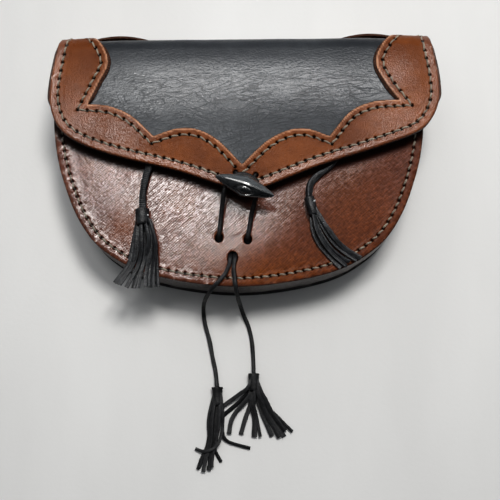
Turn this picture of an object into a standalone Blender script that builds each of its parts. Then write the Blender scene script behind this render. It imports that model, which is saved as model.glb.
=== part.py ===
"""Sporran pouch: a D-shaped leather pouch with a scalloped flap, a toggle and four tassels.

It lies on its back. X runs to the right, Y towards the top of the pouch and Z up. The origin lies
under the middle of the pouch, on the surface that it rests on. Lengths are written in millimetres
and are made metres where they enter a mesh.
"""

import math

import bmesh
import bpy
import numpy as np
from mathutils import Matrix, Vector

MM = 0.001
GAP = 0.3  # between two pieces that touch

# The body: back, gusset and front, all from one D-shaped outline.
BODY_X = -3.4
BACK_THICK = 2.4
BACK_TOP_Y = 58.5
GUSSET_THICK = 1.4
GUSSET_FLANGE = 9.0
GUSSET_INSET = 0.9
GUSSET_BEND = 2.2
GUSSET_BULGE = 0.9
FRONT_THICK = 2.2
FRONT_TOP_Y = 52.0
FRONT_UNDER_Z = 32.0
FRONT_CROWN = 3.0
FRONT_TOP_Z = FRONT_UNDER_Z + FRONT_THICK
FRONT_MARGIN = 0.9  # share of the way to the edge where the crown starts
FRONT_MIDDLE_Y = -12.0
FRONT_RINGS = (0.0, 0.3, 0.55, 0.76, FRONT_MARGIN, 1.0)  # shares of the way to the edge
OUTLINE_STEP = 8.0
TOP_EDGE_POINTS = 16
PANEL_DRILL_LENGTH = 12.0

# The flap: inside the back, round the back bend, up the top band, round the front bend and down.
FLAP_THICK = 2.0
FLAP_STRIP_Z = BACK_THICK + GAP + FLAP_THICK / 2
FLAP_STRIP_END_Y = 34.0
FLAP_BACK_RADIUS = 8.0
FLAP_FRONT_RADIUS = 10.0
FLAP_BEND_Y = 57.1
FLAP_FRONT_Z = 40.5
FLAP_SWELL = 1.6  # the front stands up between the roll and the tip
SWELL_REACH = 1.1  # the share of the way down where it ends, inverted
SWELL_SKEW = 0.8  # below 1 it is fullest near the roll
FLAP_DROOP = 2.5  # the front falls towards its sides
DROOP_RATE = 2.2  # the share of the way down where the fall is full, inverted
FLAP_TIP_RISE = 0.6
FLAP_HALF_WIDTH = 108.0
FLAP_TIP_X = 0.4
FLAP_TIP_Y = -27.0
FLAP_BAND_INSET = 0.6  # at each side the flap is this much narrower where the band ends
FLAP_CORNER_PULL = 1.7  # how far the roll draws in at its two ends
FLAP_CORNER_START = 68.0
FLAP_DRILL_LENGTH = 14.0
BEND_LINE_START = 12.3  # from the tip to the first line that cuts the front across
BEND_LINE_STEP = 11.0
CUT_LINES_X = np.linspace(-91.5, 90.5, 11)  # lines that cut the pattern lengthways
BEND_ANGLES = (0.0, 22.5, 45.0, 67.5, 90.0)  # where the pattern is cut across, round each bend
TRIM_THICK = 2.0
TRIM_LIFT = FLAP_THICK / 2 + GAP + TRIM_THICK / 2

# The flap's middle surface on the top band, and how far along the flap each stretch ends.
BAND_Y = FLAP_BEND_Y + FLAP_FRONT_RADIUS
BAND_OUTER_Y = BAND_Y + FLAP_THICK / 2
BAND_TOP_Z = FLAP_FRONT_Z - FLAP_FRONT_RADIUS
BAND_LOW_Z = FLAP_STRIP_Z + FLAP_BACK_RADIUS
BAND_START_S = FLAP_BEND_Y + FLAP_FRONT_RADIUS * math.pi / 2
BAND_END_S = BAND_START_S + BAND_TOP_Z - BAND_LOW_Z
STRIP_START_S = BAND_END_S + FLAP_BACK_RADIUS * math.pi / 2
STRIP_END_S = STRIP_START_S + BAND_Y - FLAP_BACK_RADIUS - FLAP_STRIP_END_Y

# The hanger loops on the top band.
LOOP_THICK = 2.2
LOOP_RISE = 4.8
LOOP_LOW_Z = 11.0
LOOP_HIGH_Z = 25.0
LOOP_FOOT = 8.0
LOOP_SLOPE = 10.5  # how far along the strip it takes to rise

# The toggle and its cords.
TOGGLE_HALF_LENGTH = 16.6
TOGGLE_HALF_WIDTH = 6.2
TOGGLE_HALF_HEIGHT = 5.0
TOGGLE_TAPER = 0.65
TOGGLE_RIDGE = 1.45  # below 2 the section has ridges along the top and the edges
TOGGLE_CENTRE = (-0.4, -25.6, 51.8)
TOGGLE_TURN = -20.5  # degrees about Z
TOGGLE_SOCKET_RADIUS = 1.3
TOGGLE_SOCKET_DEPTH = 0.5  # past the cord's end
TOGGLE_DRILL_LENGTH = 7.0
TOGGLE_CORD_RADIUS = 0.9
FLAP_HOLE_RADIUS = 1.45
LOOP_CORD_RADIUS = 1.25
PANEL_HOLE_RADIUS = 2.1
LOW_HOLE_RADIUS = 2.7
SIDE_HOLE_RADIUS = 2.4
SIDE_THONG_RADIUS = 1.6
LOW_THONG_RADIUS = 1.05
LOW_THONG_ASIDE = 1.25  # from the middle of the hole that the two low thongs share
THONG_STEP = 3.9  # from one point of a cord's tube to the next
LOOP_CORD_STEP = 3.0
TOGGLE_CORD_STEP = 2.2

# Half of the D outline, from the top corner to the bottom: half width and y.
BODY_OUTLINE = (
    (103.8, 52.0),
    (104.6, 30.0),
    (103.2, 8.0),
    (98.5, -13.4),
    (88.2, -38.7),
    (73.5, -56.5),
    (46.7, -70.0),
    (0.0, -76.5),
)

# The flap's outer edge from the back strip to the tip: left x, left s, right x, right s.
# s is the distance along the flap, equal to y on the front.
FLAP_EDGE = (
    (-103.4, 72.0, 104.8, 72.0),
    (-105.4, 58.0, 105.8, 58.0),
    (-108.0, 39.0, 108.0, 41.0),
    (-107.9, 26.0, 107.6, 26.0),
    (-102.9, 12.7, 101.8, 13.4),
    (-92.0, 3.3, 92.4, 6.0),
    (-70.0, -5.3, 70.0, -2.4),
    (-37.4, -13.9, 40.0, -12.0),
    (-12.3, -22.8, 12.0, -23.0),
)
FLAP_STRIP_X = (-94.0, 87.2)  # between the gusset's flanges

# The scalloped inner edge of the trim, from the top to the middle: left x, left s, right x, right s,
# and 1 where the edge has a corner.
TRIM_INNER = (
    (-83.4, 69.0, 82.4, 69.0, 0),
    (-77.4, 56.0, 75.2, 56.0, 0),
    (-76.2, 48.0, 73.4, 47.0, 0),
    (-81.0, 37.0, 78.4, 35.4, 0),
    (-86.5, 25.1, 85.2, 25.8, 1),
    (-74.6, 23.3, 70.8, 24.3, 0),
    (-62.3, 17.4, 57.9, 18.4, 0),
    (-50.0, 5.6, 46.1, 4.5, 1),
    (-37.4, 9.6, 34.6, 8.6, 0),
    (-25.8, 8.9, 23.6, 7.9, 0),
    (-14.3, 2.3, 11.4, 1.6, 0),
    (-1.8, -11.0, -1.8, -11.0, 1),
)
TRIM_TOP_S = 74.5  # the trim ends just over the front bend
TRIM_TOP_SLANT = 1.0

# Where each hanger loop stands on the band: name, x of the left foot's end, x of the right foot's.
HANGER_LOOPS = (
    ("hanger_loop_left", -101.0, -45.5),
    ("hanger_loop_right", 46.0, 101.5),
)

# Holes through the front panel: x, y, radius, and the lean of the hole in degrees from upright,
# towards -Y where positive.
PANEL_HOLES = (
    (-14.7, -50.4, PANEL_HOLE_RADIUS, -40.0),
    (0.9, -51.5, PANEL_HOLE_RADIUS, -40.0),
    (-7.4, -60.4, LOW_HOLE_RADIUS, 40.0),
    (-50.2, 1.0, SIDE_HOLE_RADIUS, 45.0),
    (52.6, -1.0, SIDE_HOLE_RADIUS, 45.0),
)

# Cord routes. Where z is None the point lies on the front panel.
# The toggle's cord: one half each side, from its socket to the flap's hole and under the flap.
TOGGLE_CORD_ROUTE = (
    (-1.9, -23.5, 50.2),
    (-1.6, -22.2, 48.7),
    (-2.3, -20.3, 46.9),
    (-3.6, -18.3, 46.05),
    (-4.9, -16.6, 45.9),
    (-5.3, -15.9, 44.6),
    (-5.3, -15.8, 41.6),
    (-4.9, -15.9, 39.5),
    (-3.0, -16.1, 38.7),
    (0.2, -16.5, 38.6),
    (3.4, -16.9, 38.7),
    (5.2, -17.1, 39.5),
    (5.6, -17.2, 41.6),
    (5.6, -17.3, 44.6),
    (5.2, -18.1, 45.9),
    (4.2, -20.2, 46.05),
    (3.2, -22.2, 46.9),
    (2.8, -23.7, 48.7),
    (2.4, -24.9, 50.2),
)
# The closing loop above the panel, from the left hole round the toggle's neck to the right hole.
CLOSING_LOOP_ROUTE = (
    (-14.1, -45.8, None),
    (-13.4, -39.5, 38.9),
    (-12.6, -33.5, 41.6),
    (-11.8, -28.6, 45.3),
    (-10.9, -25.0, 46.6),
    (-8.8, -21.2, 46.9),
    (-5.6, -18.9, 48.2),
    (-1.8, -18.2, 48.9),
    (2.2, -19.3, 48.9),
    (5.9, -22.0, 48.3),
    (6.5, -26.0, 46.9),
    (5.7, -30.0, 46.3),
    (4.3, -34.2, 42.9),
    (2.9, -39.5, 39.3),
    (1.7, -46.6, None),
)
# The closing loop behind the panel, from the right hole back to the left one: x, y, below the panel.
CLOSING_LOOP_INSIDE = (
    (0.4, -54.3, 3.4),
    (-2.6, -56.4, 5.0),
    (-6.9, -57.0, 5.4),
    (-11.2, -56.0, 5.0),
    (-14.3, -53.2, 3.4),
)
THONG_LEFT_ROUTE = (
    (-50.8, -4.5, None),
    (-52.7, -9.9, None),
    (-55.0, -18.0, None),
    (-56.1, -26.5, None),
    (-55.9, -34.6, None),
)
THONG_RIGHT_ROUTE = (
    (50.9, -6.0, None),
    (46.2, -11.7, None),
    (40.0, -15.8, None),
    (35.6, -21.0, None),
    (34.4, -28.6, None),
)
THONG_LOW_LEFT_ROUTE = (
    (-9.4, -65.6, None),
    (-11.6, -70.0, None),
    (-15.0, -74.0, 36.2),
    (-18.4, -77.4, 34.0),
    (-20.9, -79.8, 29.0),
    (-22.6, -81.2, 22.0),
    (-23.8, -82.2, 14.5),
    (-24.7, -84.0, 7.0),
    (-24.9, -88.0, 2.2),
    (-23.9, -94.0, 1.1),
    (-21.6, -102.5, 1.1),
    (-19.9, -111.5, 1.1),
    (-18.1, -120.5, 1.3),
    (-17.2, -128.6, 3.2),
)
THONG_LOW_RIGHT_ROUTE = (
    (-6.7, -66.0, None),
    (-6.4, -71.0, None),
    (-5.9, -75.4, 36.4),
    (-5.4, -79.0, 33.6),
    (-4.9, -81.2, 28.0),
    (-4.5, -82.2, 20.5),
    (-4.0, -83.0, 13.0),
    (-3.2, -84.9, 6.2),
    (-1.7, -88.8, 2.0),
    (0.7, -94.5, 1.1),
    (2.4, -101.5, 1.1),
    (3.1, -109.0, 1.1),
    (3.4, -115.0, 1.5),
    (3.5, -121.2, 3.3),
)

# A tassel's strips: the x and y of the middle and of the end, and the height of the strip over
# what the tassel lies on, at the middle and at the end.
TASSEL_LEFT_STRIPS = (
    (-63.0, -56.0, -69.4, -75.2, 1.2, 0.6),
    (-61.0, -57.0, -65.6, -77.6, 2.8, 1.4),
    (-58.4, -56.0, -62.2, -78.4, 1.2, 0.6),
    (-55.9, -57.0, -59.0, -77.6, 3.4, 1.6),
    (-53.4, -56.0, -55.0, -77.2, 1.2, 0.6),
    (-50.9, -57.0, -51.0, -76.8, 2.6, 1.4),
    (-48.8, -55.0, -47.4, -76.2, 1.2, 0.6),
)
TASSEL_RIGHT_STRIPS = (
    (38.0, -51.0, 49.0, -68.4, 1.2, 0.6),
    (39.9, -50.4, 52.6, -67.6, 2.8, 1.4),
    (41.8, -49.4, 56.2, -65.2, 1.2, 0.6),
    (43.6, -48.2, 59.2, -63.4, 3.0, 1.4),
    (45.2, -46.4, 62.2, -61.2, 1.2, 0.6),
)
TASSEL_LOW_LEFT_STRIPS = (
    (-20.6, -152.0, -28.0, -171.5, 1.2, 0.9),
    (-18.9, -153.0, -24.8, -174.4, 2.8, 1.6),
    (-17.4, -152.0, -21.4, -174.8, 1.2, 0.9),
    (-15.8, -153.0, -18.0, -172.4, 2.8, 1.6),
    (-14.4, -150.0, -15.0, -169.0, 1.2, 0.9),
    (-14.6, -155.0, 0.6, -162.4, 2.2, 0.9),
    (-19.4, -156.0, -29.6, -162.4, 3.4, 0.9),
)
TASSEL_LOW_RIGHT_STRIPS = (
    (-5.6, -134.5, -13.4, -139.8, 2.4, 2.8),
    (-5.2, -137.5, -12.9, -145.4, 1.2, 1.2),
    (-3.4, -141.0, -10.7, -154.6, 2.4, 0.9),
    (-0.4, -142.5, -4.3, -155.0, 1.2, 0.9),
    (2.6, -143.5, 2.6, -156.2, 2.8, 0.9),
    (5.2, -143.0, 7.4, -156.6, 1.2, 0.9),
    (8.0, -142.5, 13.0, -156.4, 2.6, 0.9),
    (10.4, -141.5, 18.2, -156.6, 1.2, 0.9),
    (12.6, -139.5, 24.6, -153.8, 2.2, 0.9),
)
# Each tassel: name, its strips, the head's start and end (x, y), the head's radius, and the height
# of what it lies on, None for the front panel.
TASSELS = (
    ("tassel_left", TASSEL_LEFT_STRIPS, (-55.9, -35.0), (-55.4, -43.0), 4.0, None),
    ("tassel_right", TASSEL_RIGHT_STRIPS, (34.5, -29.0), (36.6, -38.0), 2.9, None),
    ("tassel_low_left", TASSEL_LOW_LEFT_STRIPS, (-17.1, -129.0), (-16.9, -138.0), 3.1, 0.0),
    ("tassel_low_right", TASSEL_LOW_RIGHT_STRIPS, (3.5, -121.6), (3.5, -130.2), 3.2, 0.0),
)
STRIP_RADIUS = 0.95
STRIP_STEP = 5.0
STRIP_ROOT = 0.3  # shares of the head's length: how far back into the head a strip starts
STRIP_NECK = 0.25  # and how far past the head it starts to spread
STRIP_LAYER = 0.3  # share of the head's radius between the strips' two layers and its middle
HEAD_LIFT = 0.1
HEAD_PROFILE = ((0.0, 0.62), (0.16, 0.9), (0.5, 1.0), (0.86, 0.98), (1.0, 0.86))


# ---------------------------------------------------------------- curves and heights


def smooth(points, steps):
    """Points of a smooth curve through the given ones, with this many steps a span."""
    knots = np.array(points, float)
    ends = (2 * knots[0] - knots[1], 2 * knots[-1] - knots[-2])
    knots = np.vstack((ends[0], knots, ends[1]))
    curve = []
    for before, start, end, after in zip(knots, knots[1:], knots[2:], knots[3:]):
        for t in np.arange(steps) / steps:
            curve.append(
                0.5
                * (
                    2 * start
                    + (end - before) * t
                    + (2 * before - 5 * start + 4 * end - after) * t**2
                    + (3 * start - before - 3 * end + after) * t**3
                )
            )
    curve.append(knots[-2])
    return np.array(curve)


def spaced(points, step):
    """The same curve with its points an even distance of about this step apart."""
    points = np.array(points, float)
    lengths = np.linalg.norm(np.diff(points, axis=0), axis=1)
    along = np.concatenate(([0.0], np.cumsum(lengths)))
    places = np.linspace(0, along[-1], max(2, round(along[-1] / step) + 1))
    return np.column_stack([np.interp(places, along, axis) for axis in points.T])


def body_side():
    """The D outline from its right top corner round the bottom to the left one."""
    left = [(-width, y) for width, y in BODY_OUTLINE[-2::-1]]
    curve = spaced(smooth(BODY_OUTLINE + tuple(left), 8), OUTLINE_STEP)
    return curve + np.array((BODY_X, 0.0))


def panel_outline(top_y):
    """The closed outline of a panel whose straight top edge is at this y."""
    side = body_side()
    right, left = side[0], side[-1]
    edge = [(x, top_y) for x in np.linspace(left[0], right[0], TOP_EDGE_POINTS)]
    if top_y - right[1] < GAP:
        edge = edge[1:-1]
    return np.vstack((side, edge))


OUTLINE = panel_outline(FRONT_TOP_Y)
MIDDLE = np.array((BODY_X, FRONT_MIDDLE_Y))


def front_height(x, y):
    """Height of the front panel's outer face at this place."""
    spokes = OUTLINE - MIDDLE
    angles = np.arctan2(spokes[:, 1], spokes[:, 0])
    order = np.argsort(angles)
    reach = np.linalg.norm(spokes, axis=1)[order]
    offset = np.array((x, y)) - MIDDLE
    edge = np.interp(math.atan2(offset[1], offset[0]), angles[order], reach, period=math.tau)
    return FRONT_TOP_Z + crown(np.linalg.norm(offset) / edge)


def crown(share):
    """How far the front panel stands up, from its middle (0) to its edge (1)."""
    return FRONT_CROWN * max(0.0, 1 - (share / FRONT_MARGIN) ** 2)


def corner_pull(x):
    """How far the flap's roll and top band lie back from their full height at this x."""
    share = (abs(x) - FLAP_CORNER_START) / (FLAP_HALF_WIDTH - FLAP_CORNER_START)
    share = min(1.0, max(0.0, share))
    return FLAP_CORNER_PULL * share * share * (3 - 2 * share)


def flap_point(x, s, lift=0.0):
    """Where a point of the flap's pattern lies, with the roll drawn in at its corners."""
    x, y, z = straight_flap_point(x, s, lift)
    share = min(1.0, max(0.0, y / FLAP_BEND_Y))
    return x, y - corner_pull(x) * share, z


def straight_flap_point(x, s, lift):
    """Where a point of the pattern lies, this far above the flap's middle surface."""
    if s <= FLAP_BEND_Y:
        down = (FLAP_BEND_Y - s) / (FLAP_BEND_Y - FLAP_TIP_Y)
        swell = FLAP_SWELL * math.sin(math.pi * min(1.0, SWELL_REACH * down) ** SWELL_SKEW)
        droop = FLAP_DROOP * (x / FLAP_HALF_WIDTH) ** 2 * min(1.0, DROOP_RATE * down)
        return x, s, FLAP_FRONT_Z + swell + FLAP_TIP_RISE * down - droop + lift
    if s <= BAND_START_S:
        angle = (s - FLAP_BEND_Y) / FLAP_FRONT_RADIUS
        radius = FLAP_FRONT_RADIUS + lift
        y = FLAP_BEND_Y + radius * math.sin(angle)
        return x, y, BAND_TOP_Z + radius * math.cos(angle)
    if s <= BAND_END_S:
        return x, BAND_Y + lift, BAND_TOP_Z - (s - BAND_START_S)
    radius = FLAP_BACK_RADIUS + lift
    centre_y = BAND_Y - FLAP_BACK_RADIUS
    if s <= STRIP_START_S:
        angle = (s - BAND_END_S) / FLAP_BACK_RADIUS
        return x, centre_y + radius * math.cos(angle), BAND_LOW_Z - radius * math.sin(angle)
    return x, centre_y - (s - STRIP_START_S), BAND_LOW_Z - radius


# ---------------------------------------------------------------- scene and materials


def clear_scene():
    for obj in list(bpy.data.objects):
        bpy.data.objects.remove(obj, do_unlink=True)


def collection(name):
    made = bpy.data.collections.new(name)
    bpy.context.scene.collection.children.link(made)
    return made


def material(name, colour, roughness):
    made = bpy.data.materials.new(name)
    made.use_nodes = True
    shader = made.node_tree.nodes["Principled BSDF"]
    shader.inputs["Base Color"].default_value = (*colour, 1.0)
    shader.inputs["Roughness"].default_value = roughness
    shader.inputs["Metallic"].default_value = 0.0
    return made


def add_mesh(name, bm, finish, home):
    """A new object from a bmesh whose lengths are millimetres."""
    bmesh.ops.scale(bm, vec=(MM, MM, MM), verts=bm.verts)
    mesh = bpy.data.meshes.new(name)
    bm.to_mesh(mesh)
    bm.free()
    mesh.shade_smooth()
    mesh.set_sharp_from_angle(angle=math.radians(40))
    obj = bpy.data.objects.new(name, mesh)
    if finish:
        mesh.materials.append(finish)
    home.objects.link(obj)
    return obj


def hide_helper(obj):
    obj.hide_render = True
    obj.display_type = "WIRE"


# ---------------------------------------------------------------- ways of making a shape


def sheet(columns, rows, place):
    """A grid of this many cells, with each corner put where place(column, row) says."""
    bm = bmesh.new()
    bmesh.ops.create_grid(bm, x_segments=columns, y_segments=rows, size=0.5)
    for vert in bm.verts:
        column = round((vert.co.x + 0.5) * columns)
        row = round((vert.co.y + 0.5) * rows)
        vert.co = Vector(place(column, row))
    bmesh.ops.remove_doubles(bm, verts=bm.verts, dist=0.01)
    return bm


def leather(name, bm, thickness, finish, home):
    """A leather piece: a sheet at its middle surface, given its thickness."""
    obj = add_mesh(name, bm, finish, home)
    wall = obj.modifiers.new("thickness", "SOLIDIFY")
    wall.thickness = thickness * MM
    wall.offset = 0.0
    wall.use_even_offset = True
    return obj


def cut(obj, cutter):
    """Takes the cutter's shape out of the object."""
    made = obj.modifiers.new("cut", "BOOLEAN")
    made.operation = "DIFFERENCE"
    made.solver = "EXACT"
    made.object = cutter


def drill(name, centre, radius, direction, length, home):
    """A round cutter of this length, centred at a point and lying along a direction."""
    bm = bmesh.new()
    turn = Vector((0, 0, 1)).rotation_difference(Vector(direction)).to_matrix().to_4x4()
    bmesh.ops.create_cone(
        bm,
        cap_ends=True,
        segments=16,
        radius1=radius,
        radius2=radius,
        depth=length,
        matrix=Matrix.Translation(centre) @ turn,
    )
    cutter = add_mesh(name, bm, None, home)
    hide_helper(cutter)
    return cutter


def tube(name, points, radii, home, resolution=2, closed=False):
    """A round tube along the points, made as a curve with a bevel and capped ends."""
    curve = bpy.data.curves.new(name, "CURVE")
    curve.dimensions = "3D"
    curve.bevel_depth = MM
    curve.bevel_resolution = resolution
    curve.use_fill_caps = True
    spline = curve.splines.new("POLY")
    spline.points.add(len(points) - 1)
    for point, place, radius in zip(spline.points, points, radii):
        point.co = (*(np.array(place) * MM), 1.0)
        point.radius = radius
    spline.use_cyclic_u = closed
    obj = bpy.data.objects.new(name, curve)
    home.objects.link(obj)
    return obj


def closed_mesh_of(curve_obj):
    """The curve's tube as a bmesh in millimetres with its caps welded on; the curve goes."""
    graph = bpy.context.evaluated_depsgraph_get()
    mesh = bpy.data.meshes.new_from_object(curve_obj.evaluated_get(graph))
    bm = bmesh.new()
    bm.from_mesh(mesh)
    bmesh.ops.remove_doubles(bm, verts=bm.verts, dist=0.00001)
    bmesh.ops.recalc_face_normals(bm, faces=bm.faces)
    bmesh.ops.scale(bm, vec=(1 / MM, 1 / MM, 1 / MM), verts=bm.verts)
    bpy.data.meshes.remove(mesh)
    bpy.data.objects.remove(curve_obj, do_unlink=True)
    return bm


def cord(name, route, radius, step, finish, home, closed=False):
    """A cord along a smooth curve through its route: one welded tube, a point at every step."""
    points = spaced(smooth(route, 8), step)
    if closed:
        points = points[:-1]
    bm = closed_mesh_of(tube(name, points, [radius] * len(points), home, closed=closed))
    return add_mesh(name, bm, finish, home)


# ---------------------------------------------------------------- the body


def make_back_panel(finish, home):
    bm = bmesh.new()
    outline = panel_outline(BACK_TOP_Y)
    face = bm.faces.new([bm.verts.new((x, y, 0)) for x, y in outline])
    raised = bmesh.ops.extrude_face_region(bm, geom=[face])
    verts = [item for item in raised["geom"] if isinstance(item, bmesh.types.BMVert)]
    bmesh.ops.translate(bm, verts=verts, vec=(0, 0, BACK_THICK))
    bmesh.ops.recalc_face_normals(bm, faces=bm.faces)
    add_mesh("back_panel", bm, finish, home)


def gusset_section():
    """The band's section: distance out from the panel's edge, and height, from back to front."""
    back_z = BACK_THICK + GAP + GUSSET_THICK / 2
    front_z = FRONT_UNDER_Z - GAP - GUSSET_THICK / 2
    wall = -GUSSET_INSET - GUSSET_THICK / 2
    bend = wall - GUSSET_BEND
    quarter = [math.radians(angle) for angle in (0, 45, 90)]
    back = [
        (bend + GUSSET_BEND * math.sin(a), back_z + GUSSET_BEND * (1 - math.cos(a)))
        for a in quarter
    ]
    front = [(out, back_z + front_z - z) for out, z in reversed(back)]
    middle = [(wall + GUSSET_BULGE, (back_z + front_z) / 2)]
    return [(-GUSSET_FLANGE, back_z), *back, *middle, *front, (-GUSSET_FLANGE, front_z)]


def make_gusset(finish, home):
    path = body_side()
    section = gusset_section()
    along = np.gradient(path, axis=0)
    outward = np.column_stack((-along[:, 1], along[:, 0]))
    outward /= np.linalg.norm(outward, axis=1)[:, None]
    # The path runs clockwise as seen from the front, so its left side faces out.
    bottom = len(path) // 2
    if outward[bottom][1] > 0:
        outward = -outward

    def place(column, row):
        out, z = section[row]
        x, y = path[column] + outward[column] * out
        return x, y, z

    bm = sheet(len(path) - 1, len(section) - 1, place)
    leather("gusset", bm, GUSSET_THICK, finish, home)


def hole_axis(x, y, lean):
    """The middle of a slanted hole in the front panel, and the way it points."""
    angle = math.radians(lean)
    centre = Vector((x, y, front_height(x, y) - FRONT_THICK / 2))
    return centre, Vector((0, -math.sin(angle), math.cos(angle)))


def make_front_panel(finish, home, helpers):
    count = len(OUTLINE)

    def place(column, row):
        share = FRONT_RINGS[row]
        x, y = MIDDLE + (OUTLINE[column % count] - MIDDLE) * share
        return x, y, FRONT_TOP_Z - FRONT_THICK / 2 + crown(share)

    bm = sheet(count, len(FRONT_RINGS) - 1, place)
    panel = leather("front_panel", bm, FRONT_THICK, finish, home)
    for number, (x, y, radius, lean) in enumerate(PANEL_HOLES):
        centre, direction = hole_axis(x, y, lean)
        name = f"panel_hole_{number}"
        cut(panel, drill(name, centre, radius, direction, PANEL_DRILL_LENGTH, helpers))


# ---------------------------------------------------------------- the flap


def both_edges(rows):
    """A table's left points from the top down, and its right points from the bottom up."""
    left = [(row[0], row[1]) for row in rows]
    right = [(row[2], row[3]) for row in reversed(rows)]
    return left, right


def flap_outline():
    """The flap's outer edge on the front, from its left top end by the tip to the right one."""
    left, right = both_edges(FLAP_EDGE)
    return [*smooth(left, 4), (FLAP_TIP_X, FLAP_TIP_Y), *smooth(right, 4)]


def spans(rows):
    """The rows cut at each corner, as lists of left points and of right points."""
    left, right, start = [], [], 0
    for end, row in enumerate(rows):
        if end and row[4]:
            left.append([(r[0], r[1]) for r in rows[start : end + 1]])
            right.append([(r[2], r[3]) for r in rows[start : end + 1]])
            start = end
    return left, right


def trim_outline():
    """The trim's closed outline: round the flap's edge and back along the scallops."""
    left, right = spans(TRIM_INNER)
    inner = []
    for span in right:
        inner.extend(smooth(span, 4)[:-1])
    inner.append(np.array(TRIM_INNER[-1][:2]))
    for span in reversed(left):
        inner.extend(smooth(span[::-1], 4)[1:])
    outer = flap_outline()
    top_left = (outer[0][0], TRIM_TOP_S)
    top_right = (outer[-1][0], TRIM_TOP_S)
    inner_right = (TRIM_INNER[0][2] + TRIM_TOP_SLANT, TRIM_TOP_S)
    inner_left = (TRIM_INNER[0][0] - TRIM_TOP_SLANT, TRIM_TOP_S)
    return [top_left, *outer, top_right, inner_right, *inner, inner_left]


def bent_pattern(outline, lift):
    """A flat outline cut along lines across and down, and laid over the flap's form."""
    bm = bmesh.new()
    bm.faces.new([bm.verts.new((x, s, 0)) for x, s in outline])
    lines = [(Vector((0, y, 0)), Vector((0, 1, 0))) for y in bend_lines()]
    lines += [(Vector((x, 0, 0)), Vector((1, 0, 0))) for x in CUT_LINES_X]
    for point, normal in lines:
        geometry = [*bm.verts, *bm.edges, *bm.faces]
        bmesh.ops.bisect_plane(bm, geom=geometry, plane_co=point, plane_no=normal)
    bmesh.ops.remove_doubles(bm, verts=bm.verts, dist=0.05)
    bmesh.ops.dissolve_degenerate(bm, edges=bm.edges, dist=0.05)
    for vert in bm.verts:
        vert.co = Vector(flap_point(vert.co.x, vert.co.y, lift))
    bmesh.ops.recalc_face_normals(bm, faces=bm.faces)
    return bm


def bend_lines():
    """Where the pattern is cut across: down the front, round both bends."""
    front = list(np.arange(FLAP_TIP_Y + BEND_LINE_START, FLAP_BEND_Y - 4, BEND_LINE_STEP))
    front_bend = list(FLAP_BEND_Y + FLAP_FRONT_RADIUS * np.radians(BEND_ANGLES))
    back_bend = list(BAND_END_S + FLAP_BACK_RADIUS * np.radians(BEND_ANGLES))
    return front + front_bend + back_bend


def make_flap(finish, home, holes):
    strip_left, strip_right = FLAP_STRIP_X
    outer = flap_outline()
    outline = [
        (strip_left, STRIP_END_S),
        (strip_left, STRIP_START_S),
        (outer[0][0] + FLAP_BAND_INSET, BAND_END_S),
        *outer,
        (outer[-1][0] - FLAP_BAND_INSET, BAND_END_S),
        (strip_right, STRIP_START_S),
        (strip_right, STRIP_END_S),
    ]
    flap = leather("flap", bent_pattern(outline, 0.0), FLAP_THICK, finish, home)
    for hole in holes:
        cut(flap, hole)


def make_trim(finish, home, holes):
    bm = bent_pattern(trim_outline(), TRIM_LIFT)
    trim = leather("flap_trim", bm, TRIM_THICK, finish, home)
    for hole in holes:
        cut(trim, hole)


def make_hanger_loop(name, left, right, finish, home):
    """A strip that lies on the top band at both feet and arches away from it between them."""
    seat_y = BAND_OUTER_Y + GAP + LOOP_THICK / 2
    width = right - left
    columns = 26

    def place(column, row):
        share = column / columns
        from_end = width * min(share, 1 - share) - LOOP_FOOT
        up = min(1.0, max(0.0, from_end / LOOP_SLOPE))
        x = left + width * share
        seat = seat_y - corner_pull(x) * (1 - up)
        return x, seat + LOOP_RISE * up * up * (3 - 2 * up), (LOOP_LOW_Z, LOOP_HIGH_Z)[row]

    bm = sheet(columns, 1, place)
    leather(name, bm, LOOP_THICK, finish, home)


# ---------------------------------------------------------------- the toggle and its cords


def toggle_radius(along):
    """The toggle's share of its full width at this place, from -1 to 1 along it."""
    return max(0.0, 1 - abs(along)) ** TOGGLE_TAPER


def make_toggle(finish, home, helpers):
    rings, sides = 12, 16

    def place(column, row):
        along = math.sin(math.pi * (row / rings - 0.5))
        angle = math.tau * column / sides
        radius = toggle_radius(along)
        across = math.copysign(abs(math.cos(angle)) ** (2 / TOGGLE_RIDGE), math.cos(angle))
        up = math.copysign(abs(math.sin(angle)) ** (2 / TOGGLE_RIDGE), math.sin(angle))
        return (
            along * TOGGLE_HALF_LENGTH,
            across * radius * TOGGLE_HALF_WIDTH,
            up * radius * TOGGLE_HALF_HEIGHT,
        )

    bm = sheet(sides, rings, place)
    turn = Matrix.Rotation(math.radians(TOGGLE_TURN), 4, "Z")
    bmesh.ops.transform(bm, matrix=Matrix.Translation(TOGGLE_CENTRE) @ turn, verts=bm.verts)
    bmesh.ops.recalc_face_normals(bm, faces=bm.faces)
    toggle = add_mesh("toggle", bm, finish, home)
    ends = (TOGGLE_CORD_ROUTE[:2], TOGGLE_CORD_ROUTE[:-3:-1])
    for number, (inner, outer) in enumerate(ends):
        direction = Vector(outer) - Vector(inner)
        middle = TOGGLE_DRILL_LENGTH / 2 - TOGGLE_SOCKET_DEPTH
        centre = Vector(inner) + direction.normalized() * middle
        name = f"toggle_socket_{number}"
        cutter = drill(name, centre, TOGGLE_SOCKET_RADIUS, direction, TOGGLE_DRILL_LENGTH, helpers)
        cut(toggle, cutter)


def on_panel(route, radius):
    """The route with each height left open set so that a cord lies on the front panel."""
    lying = []
    for x, y, z in route:
        rest = front_height(x, y) + GAP + radius
        lying.append((x, y, rest if z is None else z))
    return lying


def through_hole(hole, back=3.2, out=2.6, aside=0.0):
    """Three points up through a slanted hole of the front panel."""
    x, y, _, lean = hole
    centre, direction = hole_axis(x, y, lean)
    centre.x += aside
    return [centre + direction * step for step in (-back, 0.0, out)]


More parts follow.
